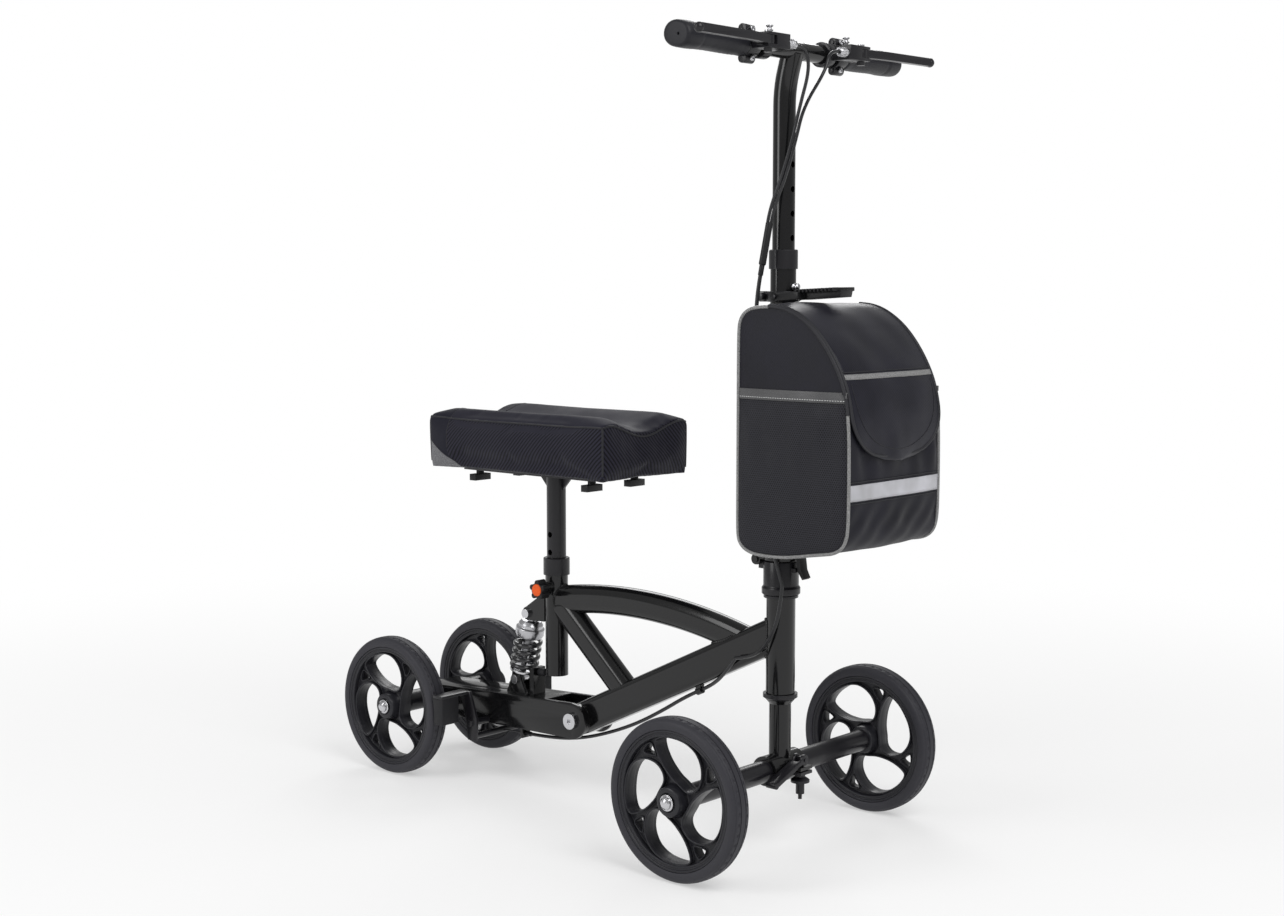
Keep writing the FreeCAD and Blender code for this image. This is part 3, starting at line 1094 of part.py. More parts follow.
def height_lever():
    """The long clamp lever, forked round the band, lying forward over the bag."""
    inner = CLAMP_RADIUS + 0.5 + SIDE_CLEARANCE
    outer = inner + 4
    rise = 6.0
    tip = CLAMP_PIVOT + Vector(CLAMP_LEVER_LENGTH, 0, rise)
    parts = []
    for side in (-1, 1):
        y = sorted((side * inner, side * outer))
        parts.append(rod(13, CLAMP_PIVOT + Vector(0, y[0], 0), CLAMP_PIVOT + Vector(0, y[1], 0)))
        parts.append(plate_xz([
            (CLAMP_PIVOT.x, CLAMP_PIVOT.z - 5), (CLAMP_PIVOT.x + 34, CLAMP_PIVOT.z - 3),
            (CLAMP_PIVOT.x + 34, CLAMP_PIVOT.z + 6), (CLAMP_PIVOT.x, CLAMP_PIVOT.z + 5),
        ], y))
    root = plate_xz([
        (CLAMP_PIVOT.x + 27, CLAMP_PIVOT.z - 3), (CLAMP_PIVOT.x + 36, CLAMP_PIVOT.z - 3),
        (CLAMP_PIVOT.x + 36, CLAMP_PIVOT.z + 6), (CLAMP_PIVOT.x + 27, CLAMP_PIVOT.z + 6),
    ], (-outer, outer))
    blade = plate_xz([
        (CLAMP_PIVOT.x + 30, CLAMP_PIVOT.z - 4), (tip.x - 2, tip.z - 6), (tip.x, tip.z + 3),
        (CLAMP_PIVOT.x + 30, CLAMP_PIVOT.z + 6),
    ], (-12, 12))
    solid = fused(*parts, root, blade)
    bore = rod(CLAMP_TRUNNION_DIAMETER + 2 * RUNNING_CLEARANCE, CLAMP_PIVOT - Vector(0, 40, 0),
               CLAMP_PIVOT + Vector(0, 40, 0))
    return solid.cut(bore)


def height_pin():
    """The pull pin that indexes the stem. Its shank runs in the column's wall."""
    wall = COLUMN_DIAMETER / 2
    shank = STEM_HOLE_DIAMETER / 2 - RUNNING_CLEARANCE
    tip = STEM_DIAMETER / 2 + SIDE_CLEARANCE
    outline = [
        (0, tip), (shank, tip), (shank, wall + SIDE_CLEARANCE), (4.8, wall + SIDE_CLEARANCE),
        (4.8, wall + 2), (3, wall + 3), (4.4, wall + 5), (4.4, wall + 7), (2.5, wall + 8.5),
        (0, wall + 8.5),
    ]
    return lathe(outline, Vector(0, 0, STEM_PIN_HEIGHT), Vector(1, 0, 0))


# ---- handlebar -------------------------------------------------------------------------------

BAR = Vector(HANDLEBAR_OFFSET, 0, HANDLEBAR_HEIGHT)


def stem():
    """The inner stem tube, bent forward at its top, with the handlebar welded across it."""
    reach = Vector(0, GRIP_END - GRIP_END_WALL, 0)
    route = [Vector(0, 0, STEM_BOTTOM), Vector(0, 0, STEM_BEND_HEIGHT), BAR]
    tube = bent_rod(route, STEM_DIAMETER)[0]
    ledge = HANDLEBAR_HEIGHT - 5
    tube = tube.cut(block((-60, 60), (-60, 60), (ledge, ledge + 60)))
    bar = rod(BAR_SEAT_DIAMETER, BAR - reach, BAR + reach)
    near, far = BARE_BAR
    bare = [rod(HANDLEBAR_DIAMETER, BAR + Vector(0, side * near, 0), BAR + Vector(0, side * far, 0))
            for side in (-1, 1)]
    solid = fused(tube, bar, *bare)
    bore_top = STEM_BEND_HEIGHT - 40
    solid = solid.cut(rod(STEM_DIAMETER - 2 * STEM_WALL, Vector(0, 0, STEM_BOTTOM - 1),
                          Vector(0, 0, bore_top)))
    for step in range(-STEM_HOLES_BELOW, STEM_HOLES_ABOVE + 1):
        height = STEM_PIN_HEIGHT + step * STEM_HOLE_PITCH
        solid = solid.cut(rod(STEM_HOLE_DIAMETER, Vector(0, 0, height), Vector(STEM_DIAMETER, 0, height)))
    return solid


def right_grip():
    """A rubber grip, larger towards its outer end, with a flat rest behind it and a vent hole in its end."""
    start = BAR - Vector(0, GRIP_START, 0)
    end = BAR - Vector(0, GRIP_END, 0)
    body = rod(GRIP_DIAMETER - 3, start, end)
    swell = Part.makeCone((GRIP_DIAMETER - 3) / 2, GRIP_DIAMETER / 2, 60, end + Vector(0, 60, 0),
                          Vector(0, -1, 0))
    rest = Part.makeBox(10, 60, GRIP_DIAMETER - 12,
                        Vector(BAR.x - GRIP_DIAMETER / 2 - 5, -GRIP_END, BAR.z - 11))
    rest = rest.makeFillet(4, rest.Edges)
    solid = fused(body, swell, rest)
    solid = solid.cut(rod(BAR_SEAT_DIAMETER, start + Vector(0, 1, 0), end + Vector(0, GRIP_END_WALL, 0)))
    return solid.cut(rod(GRIP_END_HOLE, end + Vector(0, GRIP_END_WALL + 1, 0), end - Vector(0, 1, 0)))


def grip_clamps():
    """The lock ring at the inner end of each grip, with a bolted ear above and below."""
    near = BAR - Vector(0, GRIP_START - GRIP_RING_LENGTH, 0)
    far = BAR - Vector(0, GRIP_START, 0)
    parts = [rod(HANDLEBAR_DIAMETER + 8, near, far)]
    for way in (-1, 1):
        lift = Vector(0, 0, way * (HANDLEBAR_DIAMETER / 2 + 6))
        parts.append(rod(12, near + lift - Vector(0, 2, 0), far + lift))
        parts.append(rod(6, near + lift, far + lift))
    solid = fused(*parts).cut(rod(BAR_SEAT_DIAMETER, BAR, far - Vector(0, 1, 0)))
    return Part.makeCompound([solid, mirrored(solid)])


RIGHT_LEVER_PIVOT = Vector(LEVER_PIVOT_X, -LEVER_PIVOT_Y, HANDLEBAR_HEIGHT + 1.5)
LEVER_LOW = RIGHT_LEVER_PIVOT.z - LEVER_THICKNESS / 2
LEVER_HIGH = RIGHT_LEVER_PIVOT.z + LEVER_THICKNESS / 2
PARK_PIN = Vector(PARK_PIN_X, -PARK_PIN_Y, HANDLEBAR_HEIGHT)
ADJUSTER_X = LEVER_PIVOT_X + 2.0
PERCH_TOP = LEVER_HIGH + 3.5
PERCH_LOW = LEVER_LOW - 4.5


def brake_perches():
    """The clamp and body that carry each brake lever, with the cable adjuster."""
    ring_centre = BAR - Vector(0, PERCH_Y, 0)
    half = Vector(0, 7, 0)
    back = PARK_PIN_X - 6
    ring = rod(HANDLEBAR_DIAMETER + 9, ring_centre - half, ring_centre + half)
    neck = block((BAR.x + 8, back + 2), (-PERCH_Y - 7, -PERCH_Y + 2), (PERCH_LOW, PERCH_TOP - 4))
    body = block((back, LEVER_PIVOT_X + 8), (-LEVER_PIVOT_Y - 9, -ADJUSTER_START_Y), (PERCH_LOW, PERCH_TOP))
    adjuster = rod(ADJUSTER_DIAMETER, Vector(ADJUSTER_X, -ADJUSTER_START_Y - 1, HANDLEBAR_HEIGHT),
                   Vector(ADJUSTER_X, -ADJUSTER_END_Y, HANDLEBAR_HEIGHT))
    slot = block((LEVER_PIVOT_X - 8 - SIDE_CLEARANCE, LEVER_PIVOT_X + 20),
                 (-LEVER_PIVOT_Y - 20, -LEVER_PIVOT_Y + 8 + SIDE_CLEARANCE),
                 (LEVER_LOW - SIDE_CLEARANCE, LEVER_HIGH + SIDE_CLEARANCE))
    foot = Vector(LEVER_PIVOT_X, -LEVER_PIVOT_Y, PERCH_LOW)
    pivot = rod(6, foot, foot + Vector(0, 0, PERCH_TOP - PERCH_LOW + 1))
    nut = rod(10, foot - Vector(0, 0, 5), foot)
    solid = fused(ring, neck, body, adjuster).cut(slot)
    solid = solid.cut(rod(BAR_SEAT_DIAMETER, ring_centre - half * 3, ring_centre + half * 3))
    solid = solid.cut(rod(6, PARK_PIN - Vector(0, 0, 6), PARK_PIN + Vector(0, 0, 30)))
    solid = fused(solid, pivot, nut)
    return Part.makeCompound([solid, mirrored(solid)])


def right_lever():
    """A brake lever: an eye on the pivot, a long blade and a round end."""
    eye = rod(15, Vector(LEVER_PIVOT_X, -LEVER_PIVOT_Y, LEVER_LOW),
              Vector(LEVER_PIVOT_X, -LEVER_PIVOT_Y, LEVER_HIGH))
    outline = [
        Vector(LEVER_PIVOT_X - 6, -LEVER_PIVOT_Y, LEVER_LOW),
        Vector(LEVER_PIVOT_X + 6, -LEVER_PIVOT_Y + 2, LEVER_LOW),
        Vector(LEVER_PIVOT_X + 13, -LEVER_PIVOT_Y - 42, LEVER_LOW),
        Vector(LEVER_TIP_X + 4.5, -LEVER_TIP_Y, LEVER_LOW),
        Vector(LEVER_TIP_X - 4, -LEVER_TIP_Y, LEVER_LOW),
        Vector(LEVER_PIVOT_X + 3, -LEVER_PIVOT_Y - 42, LEVER_LOW),
    ]
    blade = Part.Face(Part.makePolygon(outline + outline[:1])).extrude(Vector(0, 0, LEVER_THICKNESS))
    ball = Part.makeSphere(6, Vector(LEVER_TIP_X, -LEVER_TIP_Y, RIGHT_LEVER_PIVOT.z))
    bore = rod(6 + 2 * RUNNING_CLEARANCE, RIGHT_LEVER_PIVOT - Vector(0, 0, 20),
               RIGHT_LEVER_PIVOT + Vector(0, 0, 20))
    return fused(eye, blade, ball).cut(bore)


def right_park_pin():
    """The sprung pin that is pushed down to hold the lever pulled."""
    base = PERCH_TOP - HANDLEBAR_HEIGHT
    shank = 3 - RUNNING_CLEARANCE
    outline = [
        (0, -1), (shank, -1), (shank, base + 4), (4.5, base + 4), (4.5, base + 5.5),
        (2.5, base + 6.5), (2.5, base + 8.5), (4.5, base + 9.5), (4.5, base + 11), (0, base + 11),
    ]
    return lathe(outline, PARK_PIN, Vector(0, 0, 1))


# ---- brake cables ----------------------------------------------------------------------------

BARREL_LINE = (BARREL_BOTTOM - BARREL_TOP).normalize()
BARREL_SIDE = BARREL_LINE.cross(Vector(1, -1, 0)).normalize()
CABLE_END = Vector(CABLE_TAB_X + 8, 0, CABLE_END_HEIGHT)


def cable_splitter():
    """The barrel that joins the cables of the two levers to the one cable of the brake."""
    length = (BARREL_BOTTOM - BARREL_TOP).Length
    radius = BARREL_DIAMETER / 2
    outline = [(0, 0), (radius - 0.8, 0), (radius, 1), (radius, length - 2), (radius - 1.5, length),
               (3.2, length), (3.2, length + 12), (0, length + 12)]
    return lathe(outline, BARREL_TOP, BARREL_LINE)


def lever_cables():
    """One cable from each lever's adjuster down to the top of the splitter."""
    top = Vector(ADJUSTER_X, -ADJUSTER_END_Y, HANDLEBAR_HEIGHT)
    apart = BARREL_SIDE * (LEVER_CABLE_DIAMETER / 2 + 0.15)
    shared = [
        Vector(33, -9, 928), Vector(27, -17, 885), Vector(18, -25, 842),
        BARREL_TOP - BARREL_LINE * 18, BARREL_TOP,
    ]
    right = [
        top, top + Vector(0, 20, 0), top + Vector(-1, 33, -24),
    ] + [place + apart for place in shared]
    left = [
        mirrored_point(top), mirrored_point(top) + Vector(0, -20, 0), Vector(ADJUSTER_X + 4, 13, 972),
    ] + [place - apart for place in shared]
    return Part.makeCompound([
        cable(right, LEVER_CABLE_DIAMETER, "right lever cable"),
        cable(left, LEVER_CABLE_DIAMETER, "left lever cable"),
    ])


def mirrored_point(point):
    return Vector(point.x, -point.y, point.z)


def column_cable():
    """The brake cable from the splitter, down behind the bag and past the folding joint."""
    start = BARREL_BOTTOM + BARREL_LINE * 12
    route = [
        start, start + BARREL_LINE * 30, Vector(-9, -43, 640), Vector(-6, -38, 585),
        Vector(-3, -35, 530), Vector(0, -33.5, 480), Vector(1, -33.5, 435), Vector(4, -32.5, 400),
        ABOVE_FOLD, FOLD_CABLE_END,
    ]
    return cable(route, CABLE_DIAMETER, "column cable")


def steering_cable():
    """The brake cable from the folding joint, round the head tube to the lower tube."""
    route = [
        FOLD_CABLE_END, Vector(17, -25, 305), Vector(8, -26, 277), Vector(-10, -26, 253),
        Vector(-31, -24, 241), STEER_CABLE_END,
    ]
    solid = cable(route, CABLE_DIAMETER, "steering cable")
    # its ends are trimmed where the next length of cable starts
    for end, beyond in ((FOLD_CABLE_END, ABOVE_FOLD), (STEER_CABLE_END, BESIDE_TUBE)):
        way = (beyond - end).normalize()
        solid = solid.cut(rod(CABLE_DIAMETER + 0.1, end, end + way * 5))
    return solid


def brake_cable():
    """The brake cable along the lower tube, sagging under the pivot to the arm's cable tab."""
    route = [
        STEER_CABLE_END, BESIDE_TUBE, GUIDE + TUBE_WAY * 24, GUIDE - TUBE_WAY * 24,
        Vector(-196, -2, 142), Vector(-242, 0, 117), Vector(-292, 0, 96), Vector(-345, 0, 79),
        Vector(-400, 0, 70), CABLE_END,
    ]
    housing = cable(route, CABLE_DIAMETER, "brake cable")
    wire_end = BRAKE_PIVOT + Vector(BRAKE_BAR_DIAMETER / 2 + 0.1, 0, -BRAKE_BAR_DROP)
    barrel = rod(CABLE_END_DIAMETER, CABLE_END, Vector(CABLE_TAB_X - 8, 0, CABLE_END_HEIGHT))
    wire = rod(2, CABLE_END, wire_end)
    return fused(housing, barrel, wire)


# ---- bag -------------------------------------------------------------------------------------

def bag_outline(inset):
    """The bag's side view, drawn in from the true outline by an inset."""
    back = BAG_BACK + inset
    front = BAG_FRONT - inset
    low = BAG_BOTTOM + inset
    high = BAG_TOP - inset
    y = -BAG_WIDTH / 2 + inset

    def at(x, z):
        return Vector(x, y, z)

    edges = [
        Part.LineSegment(at(back, low + 20), at(back, high - 28)).toShape(),
        Part.Arc(at(back, high - 28), at(back + 9, high - 8), at(back + 32, high - 1)).toShape(),
        Part.LineSegment(at(back + 32, high - 1), at(back + 52, high)).toShape(),
        Part.Arc(at(back + 52, high), at(front - 38, high - 44), at(front - 7, high - 96)).toShape(),
        Part.LineSegment(at(front - 7, high - 96), at(front, high - 150)).toShape(),
        Part.LineSegment(at(front, high - 150), at(front, low + 40)).toShape(),
        Part.Arc(at(front, low + 40), at(front - 9, low + 19), at(front - 32, low + 10)).toShape(),
        Part.LineSegment(at(front - 32, low + 10), at(back + 76, low)).toShape(),
        Part.LineSegment(at(back + 76, low), at(back + 22, low)).toShape(),
        Part.Arc(at(back + 22, low), at(back + 6, low + 6), at(back, low + 20)).toShape(),
    ]
    return Part.Face(Part.Wire(edges)).extrude(Vector(0, BAG_WIDTH - 2 * inset, 0))


def column_channel(grow):
    half = BAG_CHANNEL_WIDTH / 2 + grow
    return block((BAG_BACK - 50, BAG_CHANNEL_FLOOR + grow), (-half, half), (0, 900))


def bag_shell():
    """The bag's body, hollow, with its mouth under the flap."""
    inner = bag_outline(BAG_WALL).cut(column_channel(BAG_WALL))
    half = FLAP_WIDTH / 2 - MOUTH_MARGIN
    mouth = block((FLAP_FOLD_X + MOUTH_MARGIN, 400), (-half, half), (MOUTH_BOTTOM, 900))
    return bag_outline(0).cut(column_channel(0)).cut(inner).cut(mouth)


def bag_flap():
    """The lid, from its fold on top, down over the front to its rounded tip."""
    skin = bag_outline(-FLAP_CLEARANCE - BAG_WALL).cut(bag_outline(-FLAP_CLEARANCE))
    half = FLAP_WIDTH / 2
    shoulder = FLAP_TIP_BOTTOM + FLAP_TIP_RISE

    def at(y, z):
        return Vector(FLAP_FOLD_X, y, z)

    edges = [
        Part.LineSegment(at(half, 900), at(-half, 900)).toShape(),
        Part.LineSegment(at(-half, 900), at(-half, shoulder)).toShape(),
        Part.Arc(at(-half, shoulder), at(0, FLAP_TIP_BOTTOM), at(half, shoulder)).toShape(),
        Part.LineSegment(at(half, shoulder), at(half, 900)).toShape(),
    ]
    kept = Part.Face(Part.Wire(edges)).extrude(Vector(200, 0, 0))
    return max(skin.common(kept).Solids, key=lambda s: s.Volume)


def bag_straps():
    """The straps that tie the bag's back to the column."""
    outer = COLUMN_DIAMETER + 2 * STRAP_THICKNESS
    straps = []
    for height in STRAP_HEIGHTS:
        low = Vector(0, 0, height - STRAP_WIDTH / 2)
        high = Vector(0, 0, height + STRAP_WIDTH / 2)
        tab = block((8, BAG_CHANNEL_FLOOR), (-12, 12), (low.z, high.z))
        straps.append(fused(rod(outer, low, high), tab).cut(rod(COLUMN_DIAMETER, low, high)))
    return Part.makeCompound(straps)


# ---- one file for each piece -----------------------------------------------------------------

def wheel_centres():
    front = FRONT_TRACK / 2
    rear = REAR_TRACK / 2
    return {
        "front_right": FRONT_AXLE + Vector(0, -front, 0),
        "front_left": FRONT_AXLE + Vector(0, front, 0),
        "rear_right": REAR_AXLE + Vector(0, -rear, 0),
        "rear_left": REAR_AXLE + Vector(0, rear, 0),
    }


pieces = {
    "head_tube": head_tube(),
    "headset_cups": headset_cups(),
    "lower_frame_tube": lower_frame_tube(),
    "arched_top_tube": arched_top_tube(),
    "diagonal_strut": diagonal_strut(),
    "seat_tube": seat_tube(),
    "seat_tube_collar": seat_tube_collar(),
    "frame_bolts": frame_bolts(),
    "seat_post": seat_post(),
    "pad_plate": pad_plate(),
    "knee_pad": knee_pad(),
    "pad_bolts": pad_bolts(),
    "seat_knob": seat_knob(),
    "seat_knob_cap": seat_knob_cap(),
    "swingarm": swingarm(),
    "arm_bolts": arm_bolts(),
    "bump_stop": bump_stop(),
    "rear_axle": axle(REAR_AXLE, REAR_AXLE_DIAMETER, REAR_TRACK, 3.0),
    "shock_body": shock_body(),
    "shock_shaft": shock_shaft(),
    "shock_spring": shock_spring(),
    "brake_bracket": brake_bracket(),
    "brake_shoes": brake_shoes(),
    "fork": fork(),
    "front_axle": axle(FRONT_AXLE, FRONT_AXLE_DIAMETER, FRONT_TRACK, 3.0),
    "front_wheel_bolts": wheel_bolts(FRONT_AXLE, FRONT_TRACK),
    "axle_clamp": axle_clamp(),
    "axle_lever": axle_lever(),
    "fold_socket": fold_socket(),
    "column_tube": column_tube(),
    "fold_lever": fold_lever(),
    "column_collar": column_collar(),
    "height_clamp": height_clamp(),
    "height_lever": height_lever(),
    "height_pin": height_pin(),
    "stem": stem(),
    "right_grip": right_grip(),
    "left_grip": mirrored(right_grip()),
    "grip_clamps": grip_clamps(),
    "brake_perches": brake_perches(),
    "right_lever": right_lever(),
    "left_lever": mirrored(right_lever()),
    "right_park_pin": right_park_pin(),
    "left_park_pin": mirrored(right_park_pin()),
    "cable_splitter": cable_splitter(),
    "lever_cables": lever_cables(),
    "column_cable": column_cable(),
    "steering_cable": steering_cable(),
    "brake_cable": brake_cable(),
    "bag_shell": bag_shell(),
    "bag_flap": bag_flap(),
    "bag_straps": bag_straps(),
}
for wheel, centre in wheel_centres().items():
    pieces[wheel + "_tyre"] = tyre(centre)
    pieces[wheel + "_rim"] = rim(centre)

os.makedirs("parts", exist_ok=True)
for name, shape in pieces.items():
    moved = shape.copy()
    moved.translate(Vector(COLUMN_X, 0, 0))
    if not moved.isValid():
        print(f"{name} is not valid")
    moved.exportStep(f"parts/{name}.step")
print(f"{len(pieces)} pieces, steering axis at x = {COLUMN_X:.2f}")
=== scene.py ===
import bpy
from math import atan2, cos, degrees, hypot, pi, radians, sin, sqrt
from mathutils import Matrix, Vector, noise


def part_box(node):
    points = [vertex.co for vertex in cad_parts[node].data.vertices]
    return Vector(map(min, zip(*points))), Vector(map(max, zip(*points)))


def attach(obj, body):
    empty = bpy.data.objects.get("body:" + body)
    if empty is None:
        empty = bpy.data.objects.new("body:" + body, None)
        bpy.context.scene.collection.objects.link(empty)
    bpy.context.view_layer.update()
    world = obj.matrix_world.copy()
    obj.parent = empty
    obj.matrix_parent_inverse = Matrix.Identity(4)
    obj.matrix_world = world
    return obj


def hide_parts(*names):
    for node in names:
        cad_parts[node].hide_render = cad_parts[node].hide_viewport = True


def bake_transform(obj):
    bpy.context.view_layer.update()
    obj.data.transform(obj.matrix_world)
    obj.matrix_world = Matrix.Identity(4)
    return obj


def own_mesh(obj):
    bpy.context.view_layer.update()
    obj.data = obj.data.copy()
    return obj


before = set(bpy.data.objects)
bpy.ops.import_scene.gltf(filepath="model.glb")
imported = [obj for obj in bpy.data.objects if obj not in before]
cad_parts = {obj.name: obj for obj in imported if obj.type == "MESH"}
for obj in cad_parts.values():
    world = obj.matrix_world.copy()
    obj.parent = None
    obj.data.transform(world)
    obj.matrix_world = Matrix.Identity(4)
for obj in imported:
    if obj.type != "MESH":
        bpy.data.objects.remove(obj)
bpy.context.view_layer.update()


# ---- studio ----------------------------------------------------------------------------------
# A pale seamless floor under the scooter, lit by the white room and three large soft lamps.
# It is only the setting and isn't part of the scooter.

def clear_selection():
    """Leaves edit mode and deselects everything."""
    if bpy.context.object and bpy.context.object.mode != "OBJECT":
        bpy.ops.object.mode_set(mode="OBJECT")
    bpy.ops.object.select_all(action="DESELECT")


def feed(tree, node, inputs):
    """Gives a node's inputs their values, or links them to the outputs of other nodes."""
    for label, value in inputs.items():
        if isinstance(value, bpy.types.NodeSocket):
            tree.links.new(value, node.inputs[label])
        else:
            node.inputs[label].default_value = value


def add(tree, kind, inputs, **settings):
    """A new shader node with its settings and inputs."""
    node = tree.nodes.new("ShaderNode" + kind)
    for label, value in settings.items():
        setattr(node, label, value)
    feed(tree, node, inputs)
    return node


def new_material(name):
    """A material with only its shader and output: returns it, its node tree and the shader."""
    material = bpy.data.materials.new(name)
    material.use_nodes = True
    return material, material.node_tree, material.node_tree.nodes["Principled BSDF"]


clear_selection()
bpy.ops.mesh.primitive_circle_add(vertices=96, radius=12.0, fill_type="NGON", location=(0, 0, 0))
studio_floor = bpy.context.object
studio_floor.name = "studio_floor"
floor_paper, tree, shader = new_material("floor_paper")
feed(tree, shader, {"Base Color": (0.93, 0.93, 0.93, 1), "Roughness": 0.9, "Specular IOR Level": 0.0})
place = add(tree, "TexCoord", {})
distance = add(tree, "VectorMath", {0: place.outputs["Object"]}, operation="LENGTH")
fade = add(tree, "MapRange", {"Value": distance.outputs["Value"], "From Min": 0.35, "From Max": 2.2,
                              "To Min": 0.45}, interpolation_type="SMOOTHSTEP")
seen = add(tree, "LightPath", {})
either = add(tree, "Math", {0: seen.outputs["Is Camera Ray"], 1: seen.outputs["Is Glossy Ray"]},
             operation="MAXIMUM")
share = add(tree, "Math", {0: either.outputs["Value"], 1: fade.outputs["Result"]}, operation="MULTIPLY")
glow = add(tree, "Emission", {})
mix = add(tree, "MixShader", {"Fac": share.outputs["Value"], 1: shader.outputs["BSDF"],
                              2: glow.outputs["Emission"]})
feed(tree, tree.nodes["Material Output"], {"Surface": mix.outputs["Shader"]})
studio_floor.data.materials.append(floor_paper)

room = bpy.data.worlds.new("white_room")
room.use_nodes = True
tree = room.node_tree
feed(tree, tree.nodes["Background"], {"Color": (1, 1, 1, 1), "Strength": 0.42})
room_seen = add(tree, "Background", {"Color": (1, 1, 1, 1), "Strength": 1.0})
seen = add(tree, "LightPath", {})
either = add(tree, "Math", {0: seen.outputs["Is Camera Ray"], 1: seen.outputs["Is Transmission Ray"]},
             operation="MAXIMUM")
mix = add(tree, "MixShader", {"Fac": either.outputs["Value"],
                              1: tree.nodes["Background"].outputs["Background"],
                              2: room_seen.outputs["Background"]})
feed(tree, tree.nodes["World Output"], {"Surface": mix.outputs["Shader"]})
bpy.context.scene.world = room

for name, place, aim, size, power in [
    ("key_lamp", (1.9, -0.6, 2.3), (0, 0, 0.4), (1.5, 1.5), 36),
    ("side_lamp", (-0.9, -2.4, 1.6), (0, 0, 0.4), (1.0, 2.0), 26),
    ("back_lamp", (-1.6, 2.0, 2.0), (0, 0, 0.5), (1.6, 1.2), 24),
]:
    clear_selection()
    bpy.ops.object.light_add(type="AREA", location=place)
    lamp = bpy.context.object
    lamp.name = name
    lamp.data.shape = "RECTANGLE"
    lamp.data.size, lamp.data.size_y = size
    lamp.data.energy = power
    lamp.rotation_euler = (Vector(aim) - Vector(place)).to_track_quat("-Z", "Y").to_euler()

clear_selection()
bpy.ops.object.camera_add(location=(1.68455, -1.8566, 0.72275), rotation=(radians(84.4), 0, radians(41.43)))
camera = bpy.context.object
camera.data.lens = 52.13
camera.data.sensor_width = 36
camera.data.clip_end = 100
bpy.context.scene.camera = camera
bpy.context.scene.view_settings.view_transform = "Standard"


# ---- painted frame ---------------------------------------------------------------------------
# Steel tubes, cut, notched and welded together: the oval arch, the box-section lower tube, the
# strut, the seat tube and the head tube. They are powder coated gloss black as one piece.

def new_group(name, inputs, outputs):
    """An empty shader node group with its named sockets: returns it, its inputs and its outputs."""
    group = bpy.data.node_groups.new(name, "ShaderNodeTree")
    for label, value in inputs:
        group.interface.new_socket(label, in_out="INPUT", socket_type="NodeSocketFloat").default_value = value
    for label, kind in outputs:
        group.interface.new_socket(label, in_out="OUTPUT", socket_type="NodeSocket" + kind)
    return group, group.nodes.new("NodeGroupInput").outputs, group.nodes.new("NodeGroupOutput")


def noise_texture(tree, vector, scale, detail=2.0):
    """A noise texture's value, for a place."""
    return add(tree, "TexNoise", {"Vector": vector, "Scale": scale, "Detail": detail}).outputs["Fac"]


# fine unevenness of a surface: a height for bump, and a value between two limits
grain_group, given, result = new_group(
    "surface_grain", [("Scale", 600.0), ("Detail", 2.0), ("Low", 0.2), ("High", 0.3)],
    [("Height", "Float"), ("Value", "Float")])
place = add(grain_group, "TexCoord", {}).outputs["Object"]
feed(grain_group, result, {"Height": noise_texture(grain_group, place, given["Scale"], given["Detail"])})
cloudy = noise_texture(grain_group, place, 14.0, 5.0)
spread = add(grain_group, "MapRange", {"Value": cloudy, "From Min": 0.3, "From Max": 0.7,
                                       "To Min": given["Low"], "To Max": given["High"]})
feed(grain_group, result, {"Value": spread.outputs["Result"]})

# edges rounded in the shading, and a mask that is 1 along them
edge_group, given, result = new_group(
    "softened_edges", [("Radius", 0.0008)], [("Normal", "Vector"), ("Edge", "Float")])
rounded = add(edge_group, "Bevel", {"Radius": given["Radius"]}, samples=4).outputs["Normal"]
facing = add(edge_group, "NewGeometry", {})
alike = add(edge_group, "VectorMath", {0: rounded, 1: facing.outputs["Normal"]}, operation="DOT_PRODUCT")
edge = add(edge_group, "MapRange", {"Value": alike.outputs["Value"], "From Min": 0.995, "From Max": 0.85})
feed(edge_group, result, {"Normal": rounded, "Edge": edge.outputs["Result"]})


def grained(tree, shader, low, high, scale=600.0):
    """Uneven gloss between two limits, from the grain group: returns the grain's height."""
    grain = add(tree, "Group", {}, node_tree=grain_group)
    feed(tree, grain, {"Scale": scale, "Low": low, "High": high})
    feed(tree, shader, {"Roughness": grain.outputs["Value"]})
    return grain.outputs["Height"]


def raised(tree, shader, height, strength, distance=0.0004):
    """A bump from a height, on the shader: returns the bump node."""
    relief = add(tree, "Bump", {"Strength": strength, "Distance": distance, "Height": height})
    feed(tree, shader, {"Normal": relief.outputs["Normal"]})
    return relief


def blended(tree, mask, first, second):
    """A colour: first where the mask is 0 and second where it is 1."""
    first, second = ((*value, 1) if isinstance(value, tuple) else value for value in (first, second))
    both = add(tree, "Mix", {}, data_type="RGBA")
    feed(tree, both, {"Factor": mask, "A": first, "B": second})
    return both.outputs["Result"]


def hard_material(name, colour, edge_colour, roughness, metallic=0.0, coat=0.0, grain=600.0,
                  bump=0.02, radius=0.0006):
    """Paint, metal or plastic: fine grain, uneven gloss, and edges slightly lighter and rounded."""
    material, tree, shader = new_material(name)
    height = grained(tree, shader, *roughness, grain)
    edges = add(tree, "Group", {}, node_tree=edge_group)
    feed(tree, edges, {"Radius": radius})
    feed(tree, raised(tree, shader, height, bump), {"Normal": edges.outputs["Normal"]})
    feed(tree, shader, {"Base Color": blended(tree, edges.outputs["Edge"], colour, edge_colour),
                        "Metallic": metallic, "Specular IOR Level": 0.5 if metallic else 0.3,
                        "Coat Weight": coat, "Coat Roughness": 0.06})
    return material


def finish(material, *names):
    """Gives a material to CAD nodes, by their object's own slots."""
    for name in names:
        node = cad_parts[name]
        if not node.material_slots:
            node.data.materials.append(material)
        for slot in node.material_slots:
            slot.material = material


